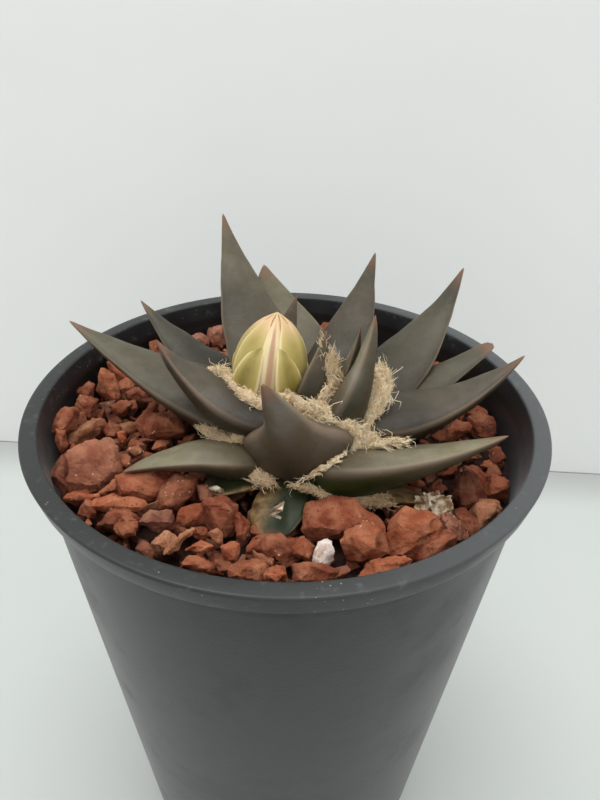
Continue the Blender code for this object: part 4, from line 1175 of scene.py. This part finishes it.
def wool_strands(chain, length, count, draw):
    """Fine fibres in small locks, matted along the tuft, with a few stray ones, as one curve."""
    curve = bpy.data.curves.new("strands", "CURVE")
    curve.dimensions = "3D"
    curve.bevel_depth = 0.06 * MM
    curve.bevel_resolution = 0
    for number in range(count):
        if number % LOCK == 0:
            share = draw.random()
            lock_outward = Vector([draw.gauss(0, 1) for _ in range(3)]).normalized()
            lock_way = draw.choice((-1.0, 1.0)), Vector([draw.gauss(0, 1) for _ in range(3)]) * 0.6
            lock_seed = draw.uniform(0, 90)
            lock_reach = length * draw.uniform(0.35, 0.85)
        at = min(1.0, max(0.0, share + draw.gauss(0, 0.03)))
        centre, radius = tuft_point(chain, at)
        ahead = tuft_point(chain, min(1.0, at + 0.05))[0] - tuft_point(chain, max(0.0, at - 0.05))[0]
        ahead.normalize()
        outward = (lock_outward + Vector([draw.gauss(0, 1) for _ in range(3)]) * 0.25).normalized()
        fine = number % 3 == 0
        loose = number % 16 == 0
        thickness = draw.uniform(0.35, 0.55) if fine else draw.uniform(0.7, 1.25)
        start = centre + outward * radius * draw.uniform(0.75, 1.15)
        way = ahead * lock_way[0] + lock_way[1] + Vector([draw.gauss(0, 1) for _ in range(3)]) * 0.22
        way += outward * (1.2 if loose else 0.15 - 0.4 * way.dot(outward))
        way.normalize()
        reach = lock_reach * draw.uniform(0.7, 1.0)
        spline = curve.splines.new("POLY")
        steps = 6
        spline.points.add(steps)
        for i in range(steps + 1):
            t = i / steps
            curl = noise.noise_vector(Vector((lock_seed, t * 1.8, 0.0))) * 0.8
            curl += noise.noise_vector(Vector((number * 7.3, t * 3.0, 5.0))) * (0.7 if loose else 0.25)
            place = start + way * reach * t + curl * reach * t
            inward = centre + ahead * ahead.dot(place - centre) - place
            if not loose and inward.length > radius * 1.1:
                place += inward * (1 - 1.1 * radius / inward.length) * 0.6
            spline.points[i].co = (*(place * MM), 1.0)
            spline.points[i].radius = thickness * (0.12 + (4 * t * (1 - t)) ** 0.6)
    return curve


def strands_mesh(curve, draw, old):
    """The curve as a mesh, with a shade for each strand."""
    thing = bpy.data.objects.new("strands", curve)
    bpy.context.scene.collection.objects.link(thing)
    bpy.context.view_layer.update()
    graph = bpy.context.evaluated_depsgraph_get()
    mesh = bpy.data.meshes.new_from_object(thing.evaluated_get(graph))
    bpy.data.objects.remove(thing, do_unlink=True)
    bpy.data.curves.remove(curve)
    shape = bmesh.new()
    shape.from_mesh(mesh)
    bpy.data.meshes.remove(mesh)
    bmesh.ops.scale(shape, vec=(1 / MM, 1 / MM, 1 / MM), verts=shape.verts)
    layer = shape.verts.layers.float_vector.new("fibre")
    seen = set()
    for vert in shape.verts:
        if vert in seen:
            continue
        shade, aged = draw.random(), old * draw.uniform(0.6, 1.0)
        reached = [vert]
        seen.add(vert)
        for one in reached:
            one[layer] = (1.0, shade, aged)
            for edge in one.link_edges:
                other = edge.other_vert(one)
                if other not in seen:
                    seen.add(other)
                    reached.append(other)
    return shape


def build_wool(look):
    material = wool_material(look)
    for number, (name, tufts) in enumerate(WOOL.items()):
        draw = random.Random(number)
        core = bmesh.new()
        shapes = []
        for points, length, count, old in tufts:
            chain = [(Vector(point[:3]), point[3]) for point in points]
            wool_core(core, chain, old, draw)
            curve = wool_strands(chain, length, int(count * look.wool_density), draw)
            shapes.append(strands_mesh(curve, draw, old))
        piece = new_mesh_object(name + "_tuft", joined([core] + shapes), [material])
        dress(piece, "areole_wool", name)


def surface_height(level, x):
    """The chips and the fines below them fall a little towards +X."""
    return level - FALL_PER_MM * x


def hulled(points):
    shape = bmesh.new()
    for point in points:
        shape.verts.new(point)
    bmesh.ops.convex_hull(shape, input=shape.verts)
    spare = [vert for vert in shape.verts if not vert.link_faces]
    bmesh.ops.delete(shape, geom=spare, context="VERTS")
    return shape


def chip_points(spec, seed, stretch=1.0):
    """An angular stone: an uneven outline that faces the viewpoint, with smaller faces on both sides."""
    x, y, rise, length, width, turn, kind = spec
    length, width = length * stretch, width * stretch
    centre = Vector((x, y, surface_height(CHIP_LEVEL, x) + rise))
    away = (centre - VIEWPOINT).normalized()
    right = away.cross(Vector((0.0, 0.0, 1.0))).normalized()
    up = right.cross(away)
    turned_by = Matrix.Rotation(math.radians(turn), 3, -away)
    right, up = turned_by @ right, turned_by @ up
    depth = min(width / 2, MOST_CHIP_DEPTH)
    draw = random.Random(seed)
    corners = 7 if length > 6 else 5
    points = []
    for k in range(corners):
        angle = 2 * math.pi * (k + draw.uniform(-CHIP_UNEVEN, CHIP_UNEVEN)) / corners
        reach = draw.uniform(0.92, 1.12)
        across = right * math.cos(angle) * length / 2 * reach
        over = up * math.sin(angle) * width / 2 * reach
        points.append(centre + across + over)
        share = draw.uniform(0.45, 0.65)
        side = 1 if k % 2 else -1
        inset = away * side * depth * draw.uniform(0.8, 1.1)
        points.append(centre + (across + over) * share + inset)
    return points


def tinted(shape, colour, draw, level=1.0):
    """Gives every point of a chip its own shade of a colour, lowered by a level where a chip is painted in shade."""
    layer = shape.verts.layers.float_color.new("tint")
    shade = draw.uniform(0.82, 1.15) * level
    warm = draw.uniform(0.94, 1.06)
    for vert in shape.verts:
        vert[layer] = (colour[0] * shade * warm, colour[1] * shade, colour[2] * shade / warm, 1.0)


def chipped(shape, size, cuts, draw):
    """Breaks flat faces off a convex stone."""
    for _ in range(cuts):
        way = Vector([draw.gauss(0, 1) for _ in range(3)]).normalized()
        reach = [vert.co.dot(way) for vert in shape.verts]
        level = max(reach) - (max(reach) - min(reach)) * draw.uniform(0.06, 0.16)
        cut = bmesh.ops.bisect_plane(
            shape,
            geom=shape.verts[:] + shape.edges[:] + shape.faces[:],
            dist=0.001,
            plane_co=way * level,
            plane_no=way,
            clear_outer=True,
        )
        rim = [item for item in cut["geom_cut"] if isinstance(item, bmesh.types.BMEdge)]
        bmesh.ops.contextual_create(shape, geom=rim)
    bmesh.ops.remove_doubles(shape, verts=shape.verts, dist=0.05)


def divided(shape, longest):
    """Splits the longer edges of a triangulated stone until none is longer than this."""
    for _ in range(4):
        edges = [edge for edge in shape.edges if edge.calc_length() > longest]
        if not edges:
            break
        bmesh.ops.subdivide_edges(shape, edges=edges, cuts=1)
        bmesh.ops.triangulate(shape, faces=shape.faces)


def broken_stone(points, size, draw):
    """Bevelled and roughened as broken brick."""
    shape = hulled(points)
    chipped(shape, size, 4, draw)
    bmesh.ops.dissolve_limit(shape, angle_limit=math.radians(10), verts=shape.verts, edges=shape.edges)
    bmesh.ops.bevel(
        shape,
        geom=shape.edges[:],
        offset=0.14 + 0.016 * size,
        segments=2,
        profile=0.5,
        affect="EDGES",
        clamp_overlap=True,
        material=-1,
    )
    bmesh.ops.triangulate(shape, faces=shape.faces)
    divided(shape, 0.05 * size + 0.32)
    shape.normal_update()
    shift = Vector((draw.uniform(0, 99), 0.0, 0.0))
    layered = Vector([draw.gauss(0, 1) for _ in range(3)]).normalized()
    moves = []
    for vert in shape.verts:
        broad = noise.noise(vert.co / (0.22 * size + 0.6) + shift) * (0.05 * size + 0.08)
        fine = noise.noise(vert.co / 0.6 + shift) * 0.15
        strata = noise.noise(layered * vert.co.dot(layered) / 0.55 + shift + vert.co * 0.2) * 0.24
        moves.append(vert.normal * (broad + fine + strata))
    for vert, move in zip(shape.verts, moves):
        vert.co += move
    return shape


def filler_chips(spacing, seed, drop, sizes):
    """Seeded small chips on a loose grid inside the rim and away from the root, set lower where a large one lies."""
    draw = random.Random(seed)
    count = int(2 * RIM_RADIUS / spacing) + 2
    for i in range(count):
        for j in range(count):
            x = (i - count / 2 + 0.5 * (j % 2)) * spacing + draw.uniform(-0.9, 0.9)
            y = (j - count / 2) * spacing * 0.9 + draw.uniform(-0.9, 0.9)
            size = draw.uniform(*sizes)
            rise = draw.uniform(-0.9, 0.7)
            corners = [Vector([draw.gauss(0, 1) for _ in range(3)]).normalized() for _ in range(8)]
            kind = draw.choice(FILLER_KINDS)
            near = min([math.hypot(x - spec[0], y - spec[1]) - 0.35 * spec[3] for spec in LARGE_CHIPS])
            from_plant = math.hypot(x - PLANT_X, y - PLANT_Y)
            if math.hypot(x, y) > 47.6 - size * 0.8 or from_plant < ROOT_RADIUS:
                continue
            low = drop + (1.4 if near < 1.5 else 0.0) + (1.2 if near < 0.0 else 0.0)
            centre = Vector((x, y, surface_height(CHIP_LEVEL, x) + rise - low))
            reach = Vector((1.0, draw.uniform(0.6, 0.95), 0.72)) * size
            turn = Matrix.Rotation(draw.uniform(0, math.pi), 3, "Z")
            yield [centre + turn @ (corner * reach) for corner in corners], size, kind, draw


def build_gravel(look):
    brick = brick_material(look)
    floor = [(0.0, BED_TOP - 1.5), (wall_radius(BED_TOP) - GAP, BED_TOP - 1.5)]
    floor += [(wall_radius(BED_BOTTOM) - GAP, BED_BOTTOM), (0.0, BED_BOTTOM)]
    shape = spun(floor, 96)
    bed = new_mesh_object("gravel_fines", shape, [fines_material()], 40)
    dress(bed, "crushed_brick", "brick_gravel")
    sides = {"left": [], "front": [], "right": []}
    for number, spec in enumerate(LARGE_CHIPS):
        draw = random.Random(200 + number)
        shape = broken_stone(chip_points(spec, CHIP_SEED + number, CHIP_STRETCH), spec[3], draw)
        tinted(shape, CHIP_PAINT[spec[6]], draw)
        side = "left" if spec[0] < -17 else "right" if spec[0] > 17 else "front"
        sides[side].append(shape)
    for side, shapes in sides.items():
        piece = new_mesh_object("chips_" + side, joined(shapes), [brick], 38)
        dress(piece, "crushed_brick", "brick_gravel")
    fillers = {
        "top": (FILLER_SPACING, FILLER_SEED, 0.6, (1.8, 3.1)),
        "deep": (3.9, 23, 2.4, (1.8, 2.9)),
    }
    for layer, (spacing, seed, drop, sizes) in fillers.items():
        shapes = []
        for points, size, kind, draw in filler_chips(spacing, seed, drop, sizes):
            shape = hulled(points)
            bmesh.ops.bevel(
                shape,
                geom=shape.edges[:],
                offset=0.14,
                segments=1,
                profile=0.5,
                affect="EDGES",
                clamp_overlap=True,
                material=-1,
            )
            # Painted shade: the small chips are tinted darker than the large ones, the deep layer most, as they lie
            # low between them.
            tinted(shape, CHIP_PAINT[kind], draw, 0.55 if layer == "deep" else 0.9)
            shapes.append(shape)
        piece = new_mesh_object("small_chips_" + layer, joined(shapes), [brick], 30)
        dress(piece, "crushed_brick", "brick_gravel")


def flake(place, length, width, tilt, seed):
    """A ragged, curled flake. The tilt holds its turns about the three axes in degrees."""
    shape = bmesh.new()
    bmesh.ops.create_grid(shape, x_segments=20, y_segments=14, size=1.0)
    turn = Euler([math.radians(angle) for angle in tilt]).to_matrix()
    for vert in shape.verts:
        x, y = vert.co.x, vert.co.y
        ragged = 1 - 0.5 * abs(noise.noise(Vector((x * 2.2, y * 2.2, seed))))
        curl = 0.35 * width * (x * x + 0.4 * y * y) + 0.5 * noise.noise(Vector((x * 1.8, y * 1.8, seed + 9.0)))
        flat = Vector((x * length / 2 * ragged, y * width / 2 * ragged, curl - 0.2 * width))
        vert.co = Vector(place) + turn @ flat
    bmesh.ops.recalc_face_normals(shape, faces=shape.faces)
    bmesh.ops.solidify(shape, geom=shape.faces[:], thickness=0.16)
    return shape


def build_litter(look):
    """The pale chip, the dry husk and the scraps that lie on the chips."""
    shape = broken_stone(chip_points(PALE_CHIP, CHIP_SEED), PALE_CHIP[3], random.Random(3))
    dress(new_mesh_object("pale_chip_rough", shape, [pale_stone_material()], 38), "pale_stone", "pale_chip")
    husk = husk_material()
    for name, place, length, width, tilt in HUSK_FLAKES:
        shape = flake(place, length, width, tilt, len(name) + length)
        dress(new_mesh_object(name, shape, [husk]), "dry_husk", "dry_husk")


def camera_axes():
    """The camera's right, up and forward directions from its fitted angles."""
    back = (VIEWPOINT - AIM).normalized()
    forward = -back
    right = Vector((1.0, 0.0, 0.0))
    up = right.cross(forward)
    forward = (
        forward + math.tan(math.radians(CAMERA_TURN)) * right + math.tan(math.radians(CAMERA_DROP)) * up
    ).normalized()
    right = forward.cross(Vector((0.0, 0.0, 1.0))).normalized()
    up = right.cross(forward)
    roll = math.radians(CAMERA_ROLL)
    return (
        math.cos(roll) * right + math.sin(roll) * up,
        math.cos(roll) * up - math.sin(roll) * right,
        forward,
    )


def build_camera():
    data = bpy.data.cameras.new("camera")
    data.lens = CAMERA_LENS
    data.sensor_width = 36.0
    data.sensor_fit = "AUTO"
    data.clip_start = 0.01
    made = bpy.data.objects.new("camera", data)
    right, up, forward = camera_axes()
    turn = Matrix((right, up, -forward)).transposed().to_4x4()
    made.matrix_world = Matrix.Translation(VIEWPOINT * MM) @ turn
    bpy.context.scene.collection.objects.link(made)
    bpy.context.scene.camera = made


def add_light(name, place, aim, size, power, colour):
    data = bpy.data.lights.new(name, "AREA")
    data.shape = "SQUARE"
    data.size = size
    data.energy = power
    data.color = colour
    made = bpy.data.objects.new(name, data)
    made.location = place
    made.rotation_euler = (Vector(aim) - Vector(place)).to_track_quat("-Z", "Y").to_euler()
    bpy.context.scene.collection.objects.link(made)


def build_stage(look):
    """A pale floor, a pale wall board behind, soft light and the camera."""
    floor = bmesh.new()
    bmesh.ops.create_grid(floor, x_segments=1, y_segments=1, size=2500.0)
    ground = new_mesh_object("floor", floor, [floor_material()])
    wall = bmesh.new()
    bmesh.ops.create_grid(wall, x_segments=1, y_segments=1, size=1.0)
    for vert in wall.verts:
        x, rise = vert.co.x * 900.0, (vert.co.y + 1) * 450.0
        vert.co = Vector((x, BOARD_PLACE - BOARD_SLANT * x + 0.05 * rise, rise + 0.2))
    board = new_mesh_object("wall_board", wall, [board_material()])
    world = bpy.data.worlds.new("soft_room")
    world.use_nodes = True
    sky = world.node_tree.nodes["Background"]
    sky.inputs[0].default_value = (0.97, 0.985, 1.0, 1.0)
    sky.inputs[1].default_value = look.room_light
    bpy.context.scene.world = world
    add_light("ceiling", (-0.05, 0.1, 0.9), (0.0, 0.0, 0.1), 0.6, look.ceiling_light, (1.0, 0.985, 0.96))
    bpy.context.scene.view_settings.view_transform = "Standard"
    build_camera()


class PlantSizes(bpy.types.PropertyGroup):
    """How finely the pieces are divided"""

    pot_steps: IntProperty(name="Pot steps", description="Steps around the pot", default=192, min=24, max=512)
    tubercle_rings: IntProperty(name="Tubercle rings", description="Rings along each tubercle", default=56, min=12)
    tubercle_sides: IntProperty(name="Tubercle sides", description="Points around each tubercle", default=40, min=8)


def colour_property(label, text, value):
    return FloatVectorProperty(name=label, description=text, subtype="COLOR", default=value, min=0.0, max=1.0)


class PlantLook(bpy.types.PropertyGroup):
    """Colours and finishes"""

    plastic: colour_property("Plastic", "Clean black plastic", paint(20, 22, 23))
    dust: colour_property("Dust", "Dusty water marks on the pot", paint(58, 61, 60))
    # Worn plastic on the rim, and also the colour of the painted highlight on the rim's right side.
    scuff_and_rim_highlight: colour_property("Scuff", "Worn plastic on the rim", paint(98, 101, 102))
    gloss: FloatProperty(name="Pot roughness", description="Roughness of clean plastic", default=0.42, min=0, max=1)
    brick_dust: colour_property("Brick dust", "Pale dust on the chips", paint(214, 158, 124))
    skin_green: colour_property("Skin green", "Grey-green skin", paint(96, 92, 68))
    skin_mauve: colour_property("Skin mauve", "Mauve-grey skin", paint(100, 82, 70))
    skin_light: colour_property("Skin light", "Lighter skin", paint(126, 119, 92))
    skin_bloom: colour_property("Skin bloom", "Waxy bloom", paint(146, 144, 136))
    skin_rust: colour_property("Skin rust", "Reddish brown clouds", paint(104, 80, 62))
    # Painted shade on the tubercles' undersides and roots, over the flanks' own darker colour.
    painted_skin_shade: colour_property("Skin shade", "Darker flanks", paint(60, 50, 36))
    dry_brown: colour_property("Dry brown", "Brown of dry skin", paint(84, 60, 34))
    dry_pale: colour_property("Dry pale", "Pale of dry skin", paint(160, 132, 88))
    flank_green: colour_property("Flank green", "Dark green flanks near the base", paint(28, 44, 8))
    edge_pale: colour_property("Edges", "Pale edges", paint(138, 118, 100))
    tip_brown: colour_property("Tips", "Brown tips", paint(124, 92, 72))
    bud_green: colour_property("Bud green", "Green of the tepals", paint(134, 118, 52))
    bud_yellow: colour_property("Bud yellow", "Yellow-green of the tepals", paint(190, 170, 98))
    bud_cream: colour_property("Bud cream", "Cream edges of the tepals", paint(232, 210, 162))
    bud_pink: colour_property("Bud peak", "Pinkish cream at the peak", paint(222, 182, 140))
    bud_rib: colour_property("Bud midrib", "Pink-brown midrib", paint(178, 130, 102))
    wool_light: colour_property("Wool light", "Cream wool", paint(255, 243, 214))
    wool_dark: colour_property("Wool dark", "Shaded wool", paint(238, 210, 164))
    # Old brown wool, also used for the painted shade on the wool's core.
    wool_old_and_shade: colour_property("Wool old", "Old brown wool", paint(172, 130, 82))
    wool_density: FloatProperty(name="Wool density", description="Share of the strands made", default=1.0, min=0.1)
    room_light: FloatProperty(name="Room light", description="Strength of the room's soft light", default=1.0, min=0)
    ceiling_light: FloatProperty(name="Ceiling light", description="Ceiling light", default=4.4, min=0, unit="POWER")


class ARIOCARPUS_OT_pot(bpy.types.Operator):
    """Builds the nursery pot and dresses the mix in it"""

    bl_idname = "ariocarpus.pot"
    bl_label = "Pot"

    def execute(self, context):
        build_pot(context.scene.ariocarpus_sizes, context.scene.ariocarpus_look)
        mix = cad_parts["potting_mix"]
        mix.data.materials.clear()
        mix.data.materials.append(soil_material())
        return {"FINISHED"}


class ARIOCARPUS_OT_gravel(bpy.types.Operator):
    """Builds the brick chips and the fines between them"""

    bl_idname = "ariocarpus.gravel"
    bl_label = "Brick chips"

    def execute(self, context):
        build_gravel(context.scene.ariocarpus_look)
        return {"FINISHED"}


class ARIOCARPUS_OT_litter(bpy.types.Operator):
    """Builds the pale chip, the husk and the scraps on the chips"""

    bl_idname = "ariocarpus.litter"
    bl_label = "Litter"

    def execute(self, context):
        build_litter(context.scene.ariocarpus_look)
        return {"FINISHED"}


class ARIOCARPUS_OT_plant(bpy.types.Operator):
    """Builds the stem and the tubercles"""

    bl_idname = "ariocarpus.plant"
    bl_label = "Plant body"

    def execute(self, context):
        build_plant(context.scene.ariocarpus_sizes, context.scene.ariocarpus_look)
        return {"FINISHED"}


class ARIOCARPUS_OT_bud(bpy.types.Operator):
    """Builds the closed flower bud"""

    bl_idname = "ariocarpus.bud"
    bl_label = "Flower bud"

    def execute(self, context):
        build_bud(context.scene.ariocarpus_look)
        return {"FINISHED"}


class ARIOCARPUS_OT_wool(bpy.types.Operator):
    """Builds the wool between the tubercles"""

    bl_idname = "ariocarpus.wool"
    bl_label = "Wool"

    def execute(self, context):
        build_wool(context.scene.ariocarpus_look)
        return {"FINISHED"}


class ARIOCARPUS_OT_stage(bpy.types.Operator):
    """Builds the floor, the wall board, the lights and the camera"""

    bl_idname = "ariocarpus.stage"
    bl_label = "Stage"

    def execute(self, context):
        build_stage(context.scene.ariocarpus_look)
        return {"FINISHED"}


OPERATORS = [
    ARIOCARPUS_OT_pot,
    ARIOCARPUS_OT_gravel,
    ARIOCARPUS_OT_litter,
    ARIOCARPUS_OT_plant,
    ARIOCARPUS_OT_bud,
    ARIOCARPUS_OT_wool,
    ARIOCARPUS_OT_stage,
]


class ARIOCARPUS_PT_panel(bpy.types.Panel):
    """Lists the pieces and their settings"""

    bl_label = "Potted ariocarpus"
    bl_idname = "ARIOCARPUS_PT_panel"
    bl_space_type = "VIEW_3D"
    bl_region_type = "UI"
    bl_category = "Ariocarpus"

    def draw(self, context):
        for operator in OPERATORS:
            self.layout.operator(operator.bl_idname)
        for group in (context.scene.ariocarpus_sizes, context.scene.ariocarpus_look):
            for name in group.bl_rna.properties.keys():
                if name not in ("rna_type", "name"):
                    self.layout.prop(group, name)


CLASSES = [PlantSizes, PlantLook, *OPERATORS, ARIOCARPUS_PT_panel]


def register():
    for item in CLASSES:
        bpy.utils.register_class(item)
    bpy.types.Scene.ariocarpus_sizes = PointerProperty(type=PlantSizes)
    bpy.types.Scene.ariocarpus_look = PointerProperty(type=PlantLook)


def unregister():
    del bpy.types.Scene.ariocarpus_look
    del bpy.types.Scene.ariocarpus_sizes
    for item in reversed(CLASSES):
        bpy.utils.unregister_class(item)


def main():
    clear_startup()
    register()
    for operator in OPERATORS:
        family, name = operator.bl_idname.split(".")
        getattr(getattr(bpy.ops, family), name)()


if __name__ == "__main__":
    main()
